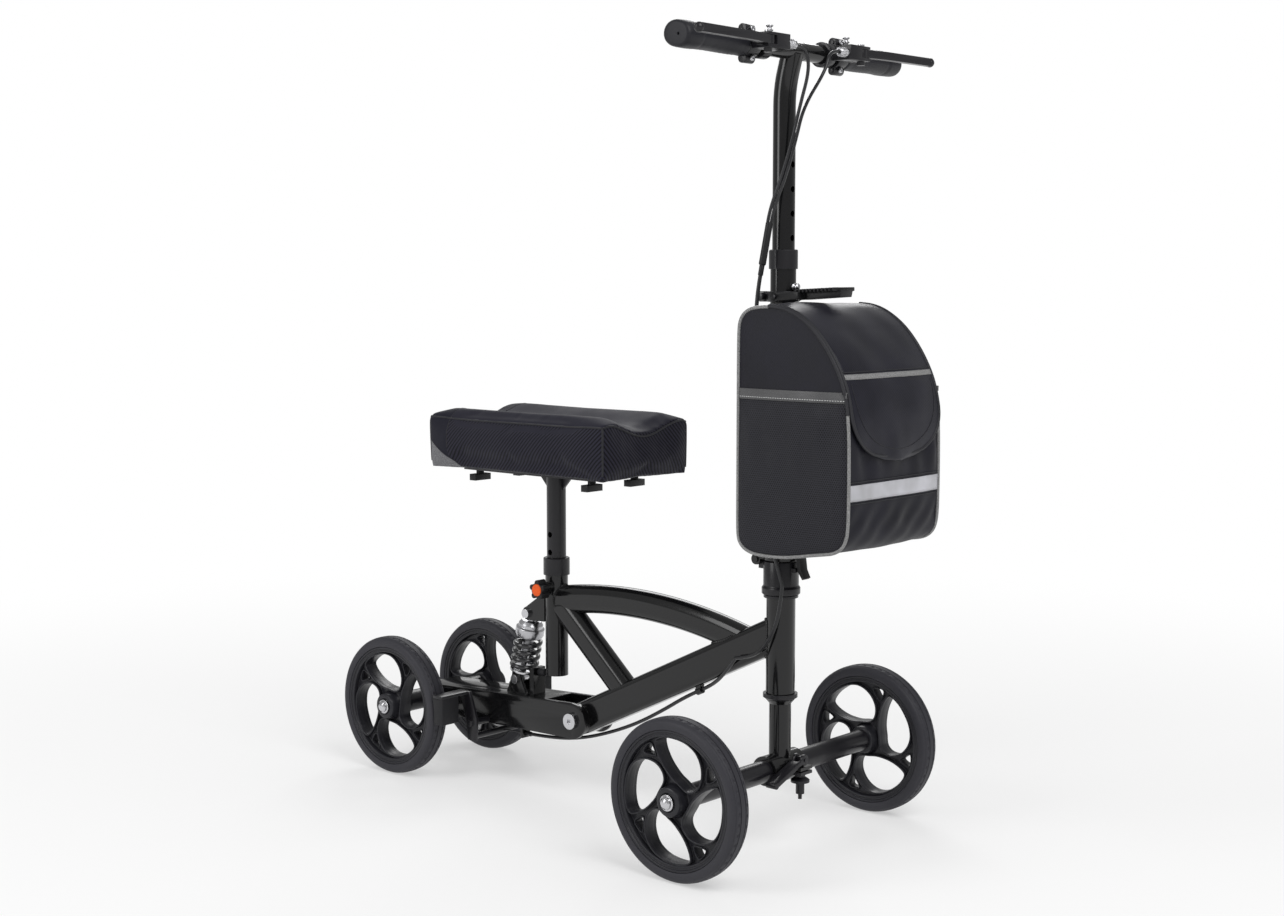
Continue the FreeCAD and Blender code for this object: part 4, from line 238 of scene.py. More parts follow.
gloss_black = hard_material("gloss_black_paint", (0.005, 0.005, 0.0055), (0.016, 0.016, 0.017),
                            (0.12, 0.20), coat=0.25, grain=260.0, bump=0.04)
finish(gloss_black, "head_tube", "lower_frame_tube", "arched_top_tube", "diagonal_strut", "seat_tube",
       "fork", "swingarm")

# The beads where the tubes are welded: each runs round the end of a tube, on the face it meets.
# A ray along the tube finds that face, and the bead's thickness rises and falls with each dab.

def add_line(curve, kind, route, closed=False, order=3):
    """Adds a line through places to a curve."""
    line = curve.splines.new(kind)
    line.points.add(len(route) - 1)
    for point, place in zip(line.points, route):
        point.co = (*place, 1)
    line.use_cyclic_u = closed
    line.use_endpoint_u = not closed
    line.order_u = order
    return line


def new_curve(name, radius, steps, resolution, caps=True):
    """An empty curve that is a round tube along its lines."""
    curve = bpy.data.curves.new(name, "CURVE")
    curve.dimensions = "3D"
    curve.bevel_depth = radius
    curve.bevel_resolution = steps
    curve.resolution_u = resolution
    curve.use_fill_caps = caps
    return curve


def new_piece(name, data):
    """A new piece in the scene, alone selected and active."""
    clear_selection()
    piece = bpy.data.objects.new(name, data)
    bpy.context.scene.collection.objects.link(piece)
    piece.select_set(True)
    bpy.context.view_layer.objects.active = piece
    return piece


def as_mesh(curve):
    """A curve turned into a smooth mesh piece."""
    new_piece(curve.name, curve)
    bpy.ops.object.convert(target="MESH")
    bpy.ops.object.shade_smooth()
    return bpy.context.object


def made_of(piece, material, body=None):
    """Gives a piece its only material, its slot and, if named, the body it rides."""
    piece.data.materials.clear()
    piece.data.materials.append(material)
    if body:
        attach(piece, body)
    return piece


def weld_bead(name, middle, way, wide, tall, onto, square=False):
    """A bead round a tube that runs along way and ends on the CAD node named in onto."""
    way = Vector(way).normalized()
    across = Vector((0, 1, 0))
    up = way.cross(across)
    seam = []
    for step in range(72):
        turn = 2 * pi * step / 72
        out = Vector((cos(turn), sin(turn)))
        if square:
            out /= (abs(out.x) ** 8 + abs(out.y) ** 8) ** 0.125
        start = Vector(middle) + across * (out.x * wide / 2) + up * (out.y * tall / 2)
        hit, place, _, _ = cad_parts[onto].ray_cast(start, way)
        if hit:
            seam.append(place)
    dense = []
    for here, after in zip(seam, seam[1:] + seam[:1]):
        dense += [here.lerp(after, part / 3) for part in range(3)]
    bead = new_curve(name, 0.00225, 2, 12, caps=False)
    line = add_line(bead, "POLY", dense, closed=len(seam) == 72)
    for number, (point, place) in enumerate(zip(line.points, dense)):
        point.radius = 0.8 + 0.28 * sin(number * 1.45) + 0.1 * noise.noise(place * 400)
    made_of(as_mesh(bead), gloss_black, "frame")


head_low, head_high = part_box("head_tube")
axis_x = (head_low.x + head_high.x) / 2


def by_axis(x, y, z):
    """A place in metres, from millimetres measured from the steering axis and the floor."""
    return Vector((axis_x + x / 1000, y / 1000, z / 1000))


weld_bead("weld_lower_tube_head", by_axis(-60, 0, 244), (1, 0, 0.4822), 0.032, 0.044, "head_tube",
          square=True)
weld_bead("weld_arch_lower_tube", by_axis(-120, 0, 269), (1, 0, -0.29), 0.028, 0.040, "lower_frame_tube")
weld_bead("weld_arch_seat_tube", by_axis(-350, 0, 275.5), (-1, 0, -0.13), 0.028, 0.040, "seat_tube")


# ---- wheels ----------------------------------------------------------------------------------
# Four equal wheels: a solid rubber tyre round a moulded plastic rim with four curved spokes.
# The front pair runs on the ends of the front axle and the rear pair on the arm's axle.

def sealed(threshold):
    """Merges the active piece's doubled vertices and turns its faces outward."""
    bpy.ops.object.mode_set(mode="EDIT")
    bpy.ops.mesh.select_all(action="SELECT")
    bpy.ops.mesh.remove_doubles(threshold=threshold)
    bpy.ops.mesh.normals_make_consistent(inside=False)
    bpy.ops.object.mode_set(mode="OBJECT")


def ring_of(name, places):
    """A new piece that is one closed ring of edges through places."""
    clear_selection()
    bpy.ops.mesh.primitive_circle_add(vertices=len(places), radius=0.01, location=(0, 0, 0))
    piece = bpy.context.object
    piece.name = name
    for vertex, place in zip(piece.data.vertices, places):
        vertex.co = place
    return piece


def turned(name, outline, centre, steps):
    """A ring turned about the Y axis through centre, from (radius, distance along Y) in metres."""
    piece = ring_of(name, [(centre.x + radius, centre.y + along, centre.z) for radius, along in outline])
    bpy.ops.object.mode_set(mode="EDIT")
    bpy.ops.mesh.select_all(action="SELECT")
    bpy.ops.mesh.spin(steps=steps, angle=2 * pi, center=centre, axis=(0, 1, 0))
    sealed(0.00002)
    bpy.ops.object.shade_smooth_by_angle(angle=radians(35))
    return piece


def keep_faces(piece, wanted):
    """In edit mode, selects the faces that wanted(polygon) accepts."""
    bpy.ops.object.mode_set(mode="EDIT")
    bpy.ops.mesh.select_mode(type="FACE")
    bpy.ops.mesh.select_all(action="DESELECT")
    bpy.ops.object.mode_set(mode="OBJECT")
    for face in piece.data.polygons:
        face.select = bool(wanted(face))
    bpy.ops.object.mode_set(mode="EDIT")


def joined(name, *pieces):
    """Several pieces made one."""
    clear_selection()
    for piece in pieces:
        piece.select_set(True)
    bpy.context.view_layer.objects.active = pieces[0]
    bpy.ops.object.join()
    pieces[0].name = name
    return pieces[0]


def both_sides(half):
    """A closed outline from its half at negative Y: the same places again, mirrored, in reverse order."""
    return half + [(radius, -along) for radius, along in reversed(half)]


hub = Vector((0, 0, 0))
tyre = turned("tyre", both_sides([
    (0.0855, -0.0125), (0.0862, -0.0140), (0.0880, -0.0147), (0.0905, -0.0150), (0.0935, -0.0149),
    (0.0958, -0.0141), (0.0972, -0.0128), (0.0978, -0.0118), (0.0974, -0.0113), (0.0984, -0.0107),
    (0.0993, -0.0088), (0.0998, -0.0060), (0.0999, -0.0052), (0.0989, -0.0048), (0.0989, -0.0040),
    (0.1000, -0.0036), (0.1000, -0.0018),
]), hub, 144)
# the short cuts across both shoulders of the tread
for side in (-1, 1):
    keep_faces(tyre, lambda face: 0.0060 < side * face.center.y < 0.0088
               and round(degrees(atan2(face.center.z, face.center.x)) / 2.5 + 0.5 * side) % 3 == 0)
    bpy.ops.mesh.inset(thickness=0.0005, depth=-0.0009, use_individual=True)
    bpy.ops.object.mode_set(mode="OBJECT")

tyre_rubber, tree, shader = new_material("tyre_rubber")
height = grained(tree, shader, 0.5, 0.64, 900.0)
feed(tree, shader, {"Specular IOR Level": 0.4,
                    "Base Color": blended(tree, height, (0.020, 0.020, 0.026), (0.031, 0.030, 0.038))})
raised(tree, shader, height, 0.12)
tyre.data.materials.append(tyre_rubber)

rim_plastic = hard_material("rim_plastic", (0.017, 0.017, 0.021), (0.045, 0.045, 0.052), (0.3, 0.42),
                            grain=1100.0, bump=0.08, radius=0.001)


def around(turn, shape):
    """A closed outline from (degrees, radius in millimetres), turned by an angle, in metres."""
    return [(r / 1000 * cos(radians(a + turn)), r / 1000 * sin(radians(a + turn)), 0) for a, r in shape]


large_opening = [
    (19, 76.3), (22.5, 74), (24, 66), (24, 56), (22, 46), (18, 38.5), (9, 30), (-3, 25.3), (-20, 23.2),
    (-40, 22.6), (-54, 24.4), (-62, 29), (-64, 36), (-61, 44.5), (-56, 52), (-48, 60.5), (-40, 67),
    (-32, 72), (-24, 75), (-12, 76.8), (4, 77.2), (13, 77.0),
]
small_opening = [(30.5, 57.5), (34, 58.5), (39, 63), (43.5, 68.5), (44, 71.5), (41, 73.5), (34, 75.5),
                 (30.5, 75), (29, 71), (29, 62)]


def flat_curve(name, outlines, thickness, edge, fill):
    """A sheet or a wall, from closed outlines in the XY plane, with rounded edges."""
    curve = new_curve(name, edge, 2, 4, caps=False)
    curve.dimensions = "2D"
    curve.fill_mode = "BOTH" if fill else "NONE"
    curve.extrude = thickness / 2 - edge
    for outline in outlines:
        add_line(curve, "NURBS", outline, closed=True)
    piece = as_mesh(curve)
    piece.data.transform(Matrix.Rotation(radians(90), 4, "X"))
    sealed(0.00002)
    bpy.ops.object.shade_smooth_by_angle(angle=radians(40))
    return piece


openings = [around(90 * quarter, shape) for quarter in range(4) for shape in (large_opening, small_opening)]
circle = [(a, 80.0) for a in range(0, 360, 6)]
web = flat_curve("rim_web", [around(0, circle)] + openings, 0.010, 0.0012, True)
walls = flat_curve("rim_walls", openings[0::2], 0.0215, 0.0011, False)
ribs = flat_curve("rim_ribs", openings[1::2], 0.0150, 0.0009, False)
rim_ring = turned("rim_ring", both_sides([
    (0.0775, -0.0105), (0.0782, -0.0118), (0.0798, -0.0122), (0.0806, -0.0114), (0.0822, -0.0114),
    (0.0832, -0.0130), (0.0850, -0.0134), (0.0858, -0.0126),
]) + [(0.0769, 0.0050), (0.0769, -0.0050)], hub, 96)
rim_hub = turned("rim_hub", both_sides([
    (0.0061, -0.0185), (0.0100, -0.0185), (0.0106, -0.0178), (0.0112, -0.0190), (0.0122, -0.0199),
    (0.0160, -0.0199), (0.0176, -0.0190), (0.0184, -0.0172), (0.0188, -0.0120), (0.0196, -0.0070),
    (0.0216, -0.0049),
]), hub, 64)
rim = joined("rim", rim_ring, web, walls, ribs, rim_hub)
rim.data.materials.clear()
rim.data.materials.append(rim_plastic)

# each wheel is turned on its axle by its own amount
for wheel, turn in [("front_right", 0), ("front_left", 38), ("rear_right", 24), ("rear_left", 61)]:
    low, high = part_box(wheel + "_tyre")
    middle = (low + high) / 2
    for pattern, kind, slot in [(tyre, "tyre", "tyre_rubber"), (rim, "rim", "rim_plastic")]:
        piece = bpy.data.objects.new(wheel + "_" + kind + "_look", pattern.data.copy())
        bpy.context.scene.collection.objects.link(piece)
        piece.data.transform(Matrix.Translation(middle) @ Matrix.Rotation(radians(-turn), 4, "Y"))
        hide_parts(wheel + "_" + kind)
        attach(piece, wheel + "_wheel")
bpy.data.objects.remove(tyre)
bpy.data.objects.remove(rim)


# ---- fork, headset and front axle ------------------------------------------------------------
# The steering tube turns in two pressed headset cups. Its welded saddle and a bolted lower half
# clamp the front axle tube. All of it is powder coated satin black, with zinc plated bolts.

def softened(node, width, material, body, segments=2):
    """Stands for a CAD node: the same shape, its sharp edges rounded to a radius."""
    piece = new_piece(node + "_look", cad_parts[node].data.copy())
    bpy.ops.object.mode_set(mode="EDIT")
    bpy.ops.mesh.select_all(action="SELECT")
    bpy.ops.mesh.remove_doubles(threshold=0.00001)
    bpy.ops.mesh.dissolve_limited(angle_limit=radians(0.6))
    bpy.ops.object.mode_set(mode="OBJECT")
    rounding = piece.modifiers.new("rounding", "BEVEL")
    rounding.width = width
    rounding.segments = segments
    rounding.limit_method = "ANGLE"
    rounding.angle_limit = radians(28)
    rounding.use_clamp_overlap = True
    bpy.ops.object.modifier_apply(modifier="rounding")
    bpy.ops.object.shade_smooth_by_angle(angle=radians(38))
    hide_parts(node)
    return made_of(piece, material, body)


satin_black = hard_material("satin_black_paint", (0.010, 0.0095, 0.012), (0.035, 0.034, 0.040), (0.28, 0.40),
                            coat=0.15, grain=900.0, bump=0.10)
zinc_steel = hard_material("zinc_plated_steel", (0.58, 0.58, 0.60), (0.85, 0.85, 0.86), (0.16, 0.30),
                           metallic=1.0, grain=500.0, bump=0.06)
finish(satin_black, "headset_cups", "front_axle", "axle_clamp")
finish(zinc_steel, "frame_bolts", "front_wheel_bolts")
softened("axle_lever", 0.0012, satin_black, "axle_lever")

# ---- rear arm, axle and brake ----------------------------------------------------------------
# A box-shaped arm of pressed and welded plate turns on a long bolt through the lower tube. It
# carries the rear axle, the lower eye of the shock, and the bar that presses both brake shoes.

softened("swingarm", 0.0016, gloss_black, "arm")
softened("brake_bracket", 0.0010, satin_black, "brake")
finish(satin_black, "rear_axle")
finish(zinc_steel, "arm_bolts")

soft_rubber = hard_material("black_rubber", (0.013, 0.013, 0.015), (0.03, 0.03, 0.033), (0.55, 0.7),
                            grain=1200.0, bump=0.2, radius=0.0012)
softened("brake_shoes", 0.0015, soft_rubber, "brake")
softened("bump_stop", 0.0012, soft_rubber, "arm")

# ---- shock absorber --------------------------------------------------------------------------
# A coil spring over a damper: cast aluminium head and eyes, a polished shaft, and a spring of
# thick black enamelled wire. It turns on a bolt at each end.

cast_aluminium = hard_material("cast_aluminium", (0.50, 0.50, 0.52), (0.78, 0.78, 0.80), (0.22, 0.40),
                               metallic=1.0, grain=420.0, bump=0.16, radius=0.0012)
spring_enamel = hard_material("spring_enamel", (0.012, 0.012, 0.014), (0.03, 0.03, 0.033), (0.10, 0.18),
                              coat=0.8, grain=300.0, bump=0.03)
softened("shock_body", 0.0010, cast_aluminium, "shock_body")
softened("shock_shaft", 0.0008, zinc_steel, "shock_shaft")
spring = softened("shock_spring", 0.0004, spring_enamel, "shock_body")
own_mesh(spring)

# ---- seat post and its clamp -----------------------------------------------------------------
# A pierced steel post slides in the seat tube. A threaded knob with an orange cap locks it, and a
# welded plate under the pad takes four bolts with hand knobs.

softened("pad_plate", 0.0008, satin_black, "seat")
finish(satin_black, "seat_post", "seat_tube_collar")
black_plastic = hard_material("black_plastic", (0.009, 0.009, 0.010), (0.03, 0.03, 0.033), (0.32, 0.48),
                              grain=1000.0, bump=0.14, radius=0.001)
softened("pad_bolts", 0.0010, black_plastic, "seat")
softened("seat_knob", 0.0012, black_plastic, "seat_knob")
orange_plastic = hard_material("orange_plastic", (0.82, 0.105, 0.008), (0.95, 0.25, 0.06), (0.26, 0.40),
                               grain=900.0, bump=0.06, radius=0.0012)
softened("seat_knob_cap", 0.0012, orange_plastic, "seat_knob")

# ---- folding joint, column and height clamp --------------------------------------------------
# The column is a tube on a hinged knuckle that folds back. Above, a collar and a split clamp with
# a toothed lever hold the stem, and a sprung pull pin drops into one of its holes.

softened("fold_socket", 0.0012, satin_black, "steering")
softened("fold_lever", 0.0010, black_plastic, "fold_lever")
softened("height_clamp", 0.0010, satin_black, "column")
finish(gloss_black, "column_tube", "stem")
finish(satin_black, "column_collar")
softened("height_pin", 0.0006, zinc_steel, "height_pin")
softened("cable_splitter", 0.0006, black_plastic, "column")
softened("height_lever", 0.0014, black_plastic, "height_lever")

# ---- brake levers and their perches ----------------------------------------------------------
# Each lever is a cast aluminium blade, painted black, that turns in a perch clamped to the bar. A
# bright barrel adjusts the cable, and a bright button beside it locks the lever for parking.

softened("left_lever", 0.0022, satin_black, "left_lever", segments=3)
softened("right_lever", 0.0022, satin_black, "right_lever", segments=3)
softened("brake_perches", 0.0009, satin_black, "handlebar")
softened("grip_clamps", 0.0009, satin_black, "handlebar")
softened("left_park_pin", 0.0006, zinc_steel, "left_park_pin")
softened("right_park_pin", 0.0006, zinc_steel, "right_park_pin")

# Knurled barrels of turned aluminium where the cables leave the perches, and the domed bolts of
# the grip clamps, zinc plated with a hexagon socket.

bar_height = 997.0
for side, label in ((-1, "right"), (1, "left")):
    centre = by_axis(49, side * 54, bar_height)
    profile = [(0.0026, -0.0095), (0.0042, -0.0095), (0.0052, -0.0086), (0.0056, -0.0070)]
    for notch in range(6):
        along = -0.0066 + notch * 0.0018
        profile += [(0.0060, along), (0.0060, along + 0.0009), (0.0056, along + 0.0012),
                    (0.0056, along + 0.0016)]
    profile += [(0.0052, 0.0050), (0.0052, 0.0080), (0.0026, 0.0080)]
    barrel = turned("cable_adjuster_" + label, profile, centre, 32)
    keep_faces(barrel, lambda face: hypot(face.center.x - centre.x, face.center.z - centre.z) > 0.00575
               and round(degrees(atan2(face.center.z - centre.z, face.center.x - centre.x)) / 11.25) % 2 == 0)
    bpy.ops.mesh.inset(thickness=0.0001, depth=-0.0003, use_individual=True)
    bpy.ops.object.mode_set(mode="OBJECT")
    made_of(barrel, cast_aluminium, "handlebar")


def bolt_head(name, place, way, radius, height, body):
    """A domed bolt head with a hexagon socket, standing on place and facing way."""
    clear_selection()
    bpy.ops.mesh.primitive_cylinder_add(vertices=24, radius=radius, depth=height, location=(0, 0, height / 2))
    head = bpy.context.object
    head.name = name
    bpy.ops.object.transform_apply(location=True)
    keep_faces(head, lambda face: face.normal.z > 0.9)
    bpy.ops.mesh.inset(thickness=radius * 0.30, depth=height * 0.25)
    bpy.ops.mesh.inset(thickness=radius * 0.16, depth=0)
    bpy.ops.mesh.inset(thickness=radius * 0.02, depth=-height * 0.6)
    bpy.ops.object.mode_set(mode="OBJECT")
    head.data.transform(Matrix.Translation(place) @ Vector(way).to_track_quat("Z", "Y").to_matrix().to_4x4())
    bpy.ops.object.shade_smooth_by_angle(angle=radians(40))
    made_of(head, zinc_steel, body)


for side, label in ((-1, "right"), (1, "left")):
    ring = [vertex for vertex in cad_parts["grip_clamps"].data.vertices if side * vertex.co.y > 0]
    face_x = max(vertex.co.x for vertex in ring if vertex.co.z > by_axis(0, 0, 1010).z)
    for level, lift in (("upper", 17), ("lower", -17)):
        bolt_head("clamp_bolt_" + label + "_" + level,
                  Vector((face_x - 0.0003, side * 0.090, (bar_height + lift) / 1000)),
                  (1, 0, 0), 0.0034, 0.0024, "handlebar")
    bolt_head("lever_bolt_" + label, by_axis(47, side * 95, 1007.6), (0, 0, 1), 0.0042, 0.0024, "handlebar")

# The teeth moulded along the height clamp's lever, for the fingers.
lever_low, lever_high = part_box("height_lever")
lever_blade = bpy.data.objects["height_lever_look"]
teeth = []
for number in range(11):
    clear_selection()
    left = lever_high.x - 0.006 - number * 0.0056
    bpy.ops.mesh.primitive_cube_add(size=1, location=(left, 0, 0))
    tooth = bpy.context.object
    tooth.scale = (0.0026, (lever_high.y - lever_low.y) * 0.90, 0.0048)
    hit, place, _, _ = lever_blade.ray_cast(Vector((left, 0, lever_high.z + 0.02)), Vector((0, 0, -1)))
    tooth.location.z = (place.z if hit else lever_high.z) + 0.0008
    bpy.ops.object.transform_apply(location=True, rotation=True, scale=True)
    rounded_edges = tooth.modifiers.new("rounded_edges", "BEVEL")
    rounded_edges.width = 0.0008
    rounded_edges.segments = 2
    bpy.ops.object.modifier_apply(modifier="rounded_edges")
    teeth.append(tooth)
teeth = joined("height_lever_teeth", *teeth)
bpy.ops.object.shade_smooth_by_angle(angle=radians(40))
made_of(teeth, black_plastic, "height_lever")

# ---- knee pad --------------------------------------------------------------------------------
# A block of firm foam with a valley along its top for the knee, in a sewn cover: ribbed cloth on
# the sides and ends, smooth cloth on top, a plain band and grey corners at the rear, piped edges.

pad_low, pad_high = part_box("knee_pad")
pad_middle = (pad_low + pad_high) / 2
shoulder = 0.068
rib_pitch = 0.0060
corner_slope = 0.62


def valley(y):
    """How far the pad's top lies below its shoulders."""
    if abs(y) < shoulder:
        return 0.015 * cos(pi * y / (2 * shoulder)) ** 2
    return 0.004 * ((abs(y) - shoulder) / 0.022) ** 2


clear_selection()
bpy.ops.mesh.primitive_cube_add(size=1, location=pad_middle - Vector((0, 0, 0.0005)))
knee_pad = bpy.context.object
knee_pad.name = "knee_pad_cover"
knee_pad.scale = (0.336, 0.175, 0.078)
bpy.ops.object.transform_apply(location=True, rotation=True, scale=True)
bpy.ops.object.mode_set(mode="EDIT")
bpy.ops.mesh.select_all(action="SELECT")
bpy.ops.mesh.subdivide(number_cuts=30)
bpy.ops.object.mode_set(mode="OBJECT")
for vertex in knee_pad.data.vertices:
    share = (vertex.co.z - pad_low.z) / (pad_high.z - pad_low.z)
    vertex.co.z -= valley(vertex.co.y) * share ** 1.5
    # the cover is drawn in a little under the pad's sides
    vertex.co.y -= vertex.co.y * 0.012 * (1 - share)
voxels = knee_pad.modifiers.new("voxels", "REMESH")
voxels.mode = "VOXEL"
voxels.voxel_size = 0.0045
bpy.ops.object.modifier_apply(modifier="voxels")
start = [vertex.co.copy() for vertex in knee_pad.data.vertices]
puffed = knee_pad.modifiers.new("puffed", "CLOTH")
puffed.settings.use_pressure = True
puffed.settings.uniform_pressure_force = 4
puffed.settings.effector_weights.gravity = 0
puffed.settings.quality = 5
for number in range(1, 21):
    bpy.context.scene.frame_set(number)
clear_selection()
knee_pad.select_set(True)
bpy.context.view_layer.objects.active = knee_pad
bpy.ops.object.modifier_apply(modifier="puffed")
bpy.context.scene.frame_set(1)
for vertex, before in zip(knee_pad.data.vertices, start):
    move = vertex.co - before
    if move.length > 0.005:
        move *= 0.005 / move.length
    vertex.co = before + move
relaxed = knee_pad.modifiers.new("relaxed", "SMOOTH")
relaxed.factor = 0.5
relaxed.iterations = 3
bpy.ops.object.modifier_apply(modifier="relaxed")
finer = knee_pad.modifiers.new("finer", "SUBSURF")
finer.levels = 1
finer.render_levels = 1
bpy.ops.object.modifier_apply(modifier="finer")
outward = [vertex.normal.copy() for vertex in knee_pad.data.vertices]
for vertex, out in zip(knee_pad.data.vertices, outward):
    spot = vertex.co
    # the lower hem puckers where the cover is stapled under the board
    hem = max(0.0, 1 - (spot.z - pad_low.z) / 0.014)
    pucker = noise.noise(Vector((spot.x * 34, spot.y * 34, 3.1))) * 0.0016 * hem
    slack = noise.noise(Vector((spot.x * 9, spot.y * 9, spot.z * 12))) * 0.0007
    spot.x += out.x * slack
    spot.y += out.y * slack
    spot.z += out.z * slack - pucker * (1 if out.z > -0.6 else 0.4)
    spot.z = max(spot.z, pad_low.z)
bpy.ops.object.shade_smooth()
# which panel each place belongs to: the top, a side or an end
panel = knee_pad.data.attributes.new("panel", "FLOAT_COLOR", "POINT")
for vertex in knee_pad.data.vertices:
    out = vertex.normal
    top = min(max((out.z - 0.50) / 0.3 + 0.5, 0), 1)
    end = min(max((abs(out.x) - abs(out.y)) / 0.4 + 0.5, 0), 1)
    panel.data[vertex.index].color = (top, end, 0, 1)

# raised ribs across a distance
rib_group, given, result = new_group("ribbed_cloth", [("Across", 0.0), ("Period", 0.004)],
                                     [("Height", "Float")])
share = add(rib_group, "Math", {0: given["Across"],
                           1: given["Period"]}, operation="DIVIDE")
saw = add(rib_group, "Math", {1: 0.5, 0: share.outputs["Value"]}, operation="PINGPONG")
crest = add(rib_group, "MapRange", {"From Min": 0.08, "From Max": 0.34, "Value": saw.outputs["Value"]},
                              interpolation_type="SMOOTHSTEP")
feed(rib_group, result, {"Height": crest.outputs["Result"]})


def sums(tree, *terms):
    """The sum of sockets, each times a number."""
    total = 0.0
    for socket, factor in terms:
        total = add(tree, "Math", {0: socket, 1: factor, 2: total}, operation="MULTIPLY_ADD").outputs["Value"]
    return total


def step_mask(tree, socket, low, high):
    """0 below low and 1 above high."""
    ramp = add(tree, "MapRange", {"From Min": low, "From Max": high, "Value": socket})
    return ramp.outputs["Result"]


def product(tree, first, second):
    """Two masks multiplied."""
    return add(tree, "Math", {0: first, 1: second}, operation="MULTIPLY").outputs["Value"]


def ribs_across(tree, across, period):
    """The ribbed cloth group, for a distance and a period."""
    ribs = add(tree, "Group", {"Period": period, "Across": across}, node_tree=rib_group)
    return ribs.outputs["Height"]


pad_cloth, tree, shader = new_material("pad_cloth")
feed(tree, shader, {"Sheen Weight": 0.06, "Specular IOR Level": 0.15})
spot = add(tree, "TexCoord", {})
spot_parts = add(tree, "SeparateXYZ", {"Vector": spot.outputs["Object"]})
x, y, z = (spot_parts.outputs[label] for label in "XYZ")
which = add(tree, "Attribute", {}, attribute_name="panel")
which_parts = add(tree, "SeparateColor", {"Color": which.outputs["Color"]})
is_top = step_mask(tree, which_parts.outputs["Red"], 0.45, 0.55)
is_end = step_mask(tree, which_parts.outputs["Green"], 0.45, 0.55)
side_ribs = ribs_across(tree, sums(tree, (x, 1.0), (z, -1.0)), rib_pitch)
end_ribs = ribs_across(tree, sums(tree, (y, 1.0), (z, 0.8)), rib_pitch)
rib = add(tree, "Mix", {"Factor": is_end, "A": side_ribs, "B": end_ribs})
rib = rib.outputs["Result"]
# painted shade: the grooves between the ribs are painted much darker than the crests, as the shade that falls
# in them
ribbed_with_painted_groove_shade = blended(tree, rib, (0.0025, 0.0025, 0.0045), (0.021, 0.020, 0.033))
fibres = add(tree, "TexNoise", {"Scale": 1300.0, "Detail": 2.0, "Vector": spot.outputs["Object"]})
smooth_cloth = blended(tree, fibres.outputs["Fac"], (0.010, 0.010, 0.017), (0.021, 0.020, 0.032))
colour = blended(tree, is_top, ribbed_with_painted_groove_shade, smooth_cloth)
rear_band = step_mask(tree, x, axis_x - 0.5185, axis_x - 0.5190)
plain_cloth = blended(tree, fibres.outputs["Fac"], (0.005, 0.005, 0.011), (0.012, 0.012, 0.022))
colour = blended(tree, rear_band, colour, plain_cloth)
# the grey corner lies under a line that slopes down from the rear edge
slope_line = sums(tree, (x, corner_slope), (z, 1.0))
corner_line = corner_slope * (axis_x - 0.5645) + 0.4963
corner = step_mask(tree, slope_line, corner_line, corner_line - 0.0005)
flecks = add(tree, "TexNoise", {"Scale": 950.0, "Detail": 3.0})
stretched = add(tree, "Mapping", {"Scale": (0.55, 0.55, 1.6), "Vector": spot.outputs["Object"]})
feed(tree, flecks, {"Vector": stretched.outputs["Vector"]})
fleck_mask = step_mask(tree, flecks.outputs["Fac"], 0.30, 0.70)
heather = blended(tree, fleck_mask, (0.075, 0.075, 0.083), (0.25, 0.25, 0.26))
colour = blended(tree, corner, colour, heather)
feed(tree, shader, {"Base Color": colour})
grained(tree, shader, 0.62, 0.8)
on_side = add(tree, "Math", {0: 1.0, 1: is_top}, operation="SUBTRACT", use_clamp=True)
off_band = add(tree, "Math", {0: 1.0, 1: rear_band}, operation="SUBTRACT")
rib_height = product(tree, product(tree, rib, on_side.outputs["Value"]), off_band.outputs["Value"])
height = sums(tree, (rib_height, 1.0), (fibres.outputs["Fac"], 0.35))
raised(tree, shader, height, 0.55, 0.0006)
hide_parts("knee_pad")
made_of(knee_pad, pad_cloth, "seat")


# The piping sewn into the cover's edges, and the narrow seams between its panels.

def laid_on(piece, start, way):
    """Where a ray meets a piece."""
    hit, place, _, _ = piece.ray_cast(start, Vector(way).normalized())
    return place if hit else None


def cord_along(name, routes, radius, material, body=None):
    """Round cord along smooth routes, made one mesh."""
    curve = new_curve(name, radius, 2, 4)
    for route in routes:
        add_line(curve, "NURBS", route)
    return made_of(as_mesh(curve), material, body)


binding_cloth, tree, shader = new_material("binding_cloth")
spot = add(tree, "TexCoord", {})
threads = add(tree, "TexNoise", {"Scale": 1500.0, "Detail": 2.0, "Vector": spot.outputs["Object"]})
feed(tree, shader, {"Base Color": blended(tree, threads.outputs["Fac"], (0.003, 0.003, 0.005),
                                          (0.012, 0.012, 0.018))})
grained(tree, shader, 0.5, 0.68)
raised(tree, shader, threads.outputs["Fac"], 0.5, 0.0004)

rear, front = pad_low.x, pad_high.x
edges = []
for side in (-1, 1):
    edges.append([laid_on(knee_pad, Vector((rear + 0.006 + 0.329 * n / 40, side * 0.13, pad_high.z + 0.040)),
                          (0, -side, -1.08)) for n in range(41)])
    for end, out in ((rear, -1), (front, 1)):
        edges.append([laid_on(knee_pad,
                              Vector((end + out * 0.04, side * 0.128, pad_low.z + 0.008 + 0.064 * n / 12)),
                              (-out, -side * 0.98, 0)) for n in range(13)])
for end, out in ((rear, -1), (front, 1)):
    edges.append([laid_on(knee_pad, Vector((end + out * 0.04, -0.083 + 0.166 * n / 28,
                                            pad_high.z + 0.037 - valley(-0.083 + 0.166 * n / 28))),
                          (-out, 0, -1)) for n in range(29)])
edges = [[place for place in edge if place is not None] for edge in edges]
cord_along("pad_piping", [edge for edge in edges if len(edge) > 4], 0.0014, binding_cloth,
           "seat")
seams = []
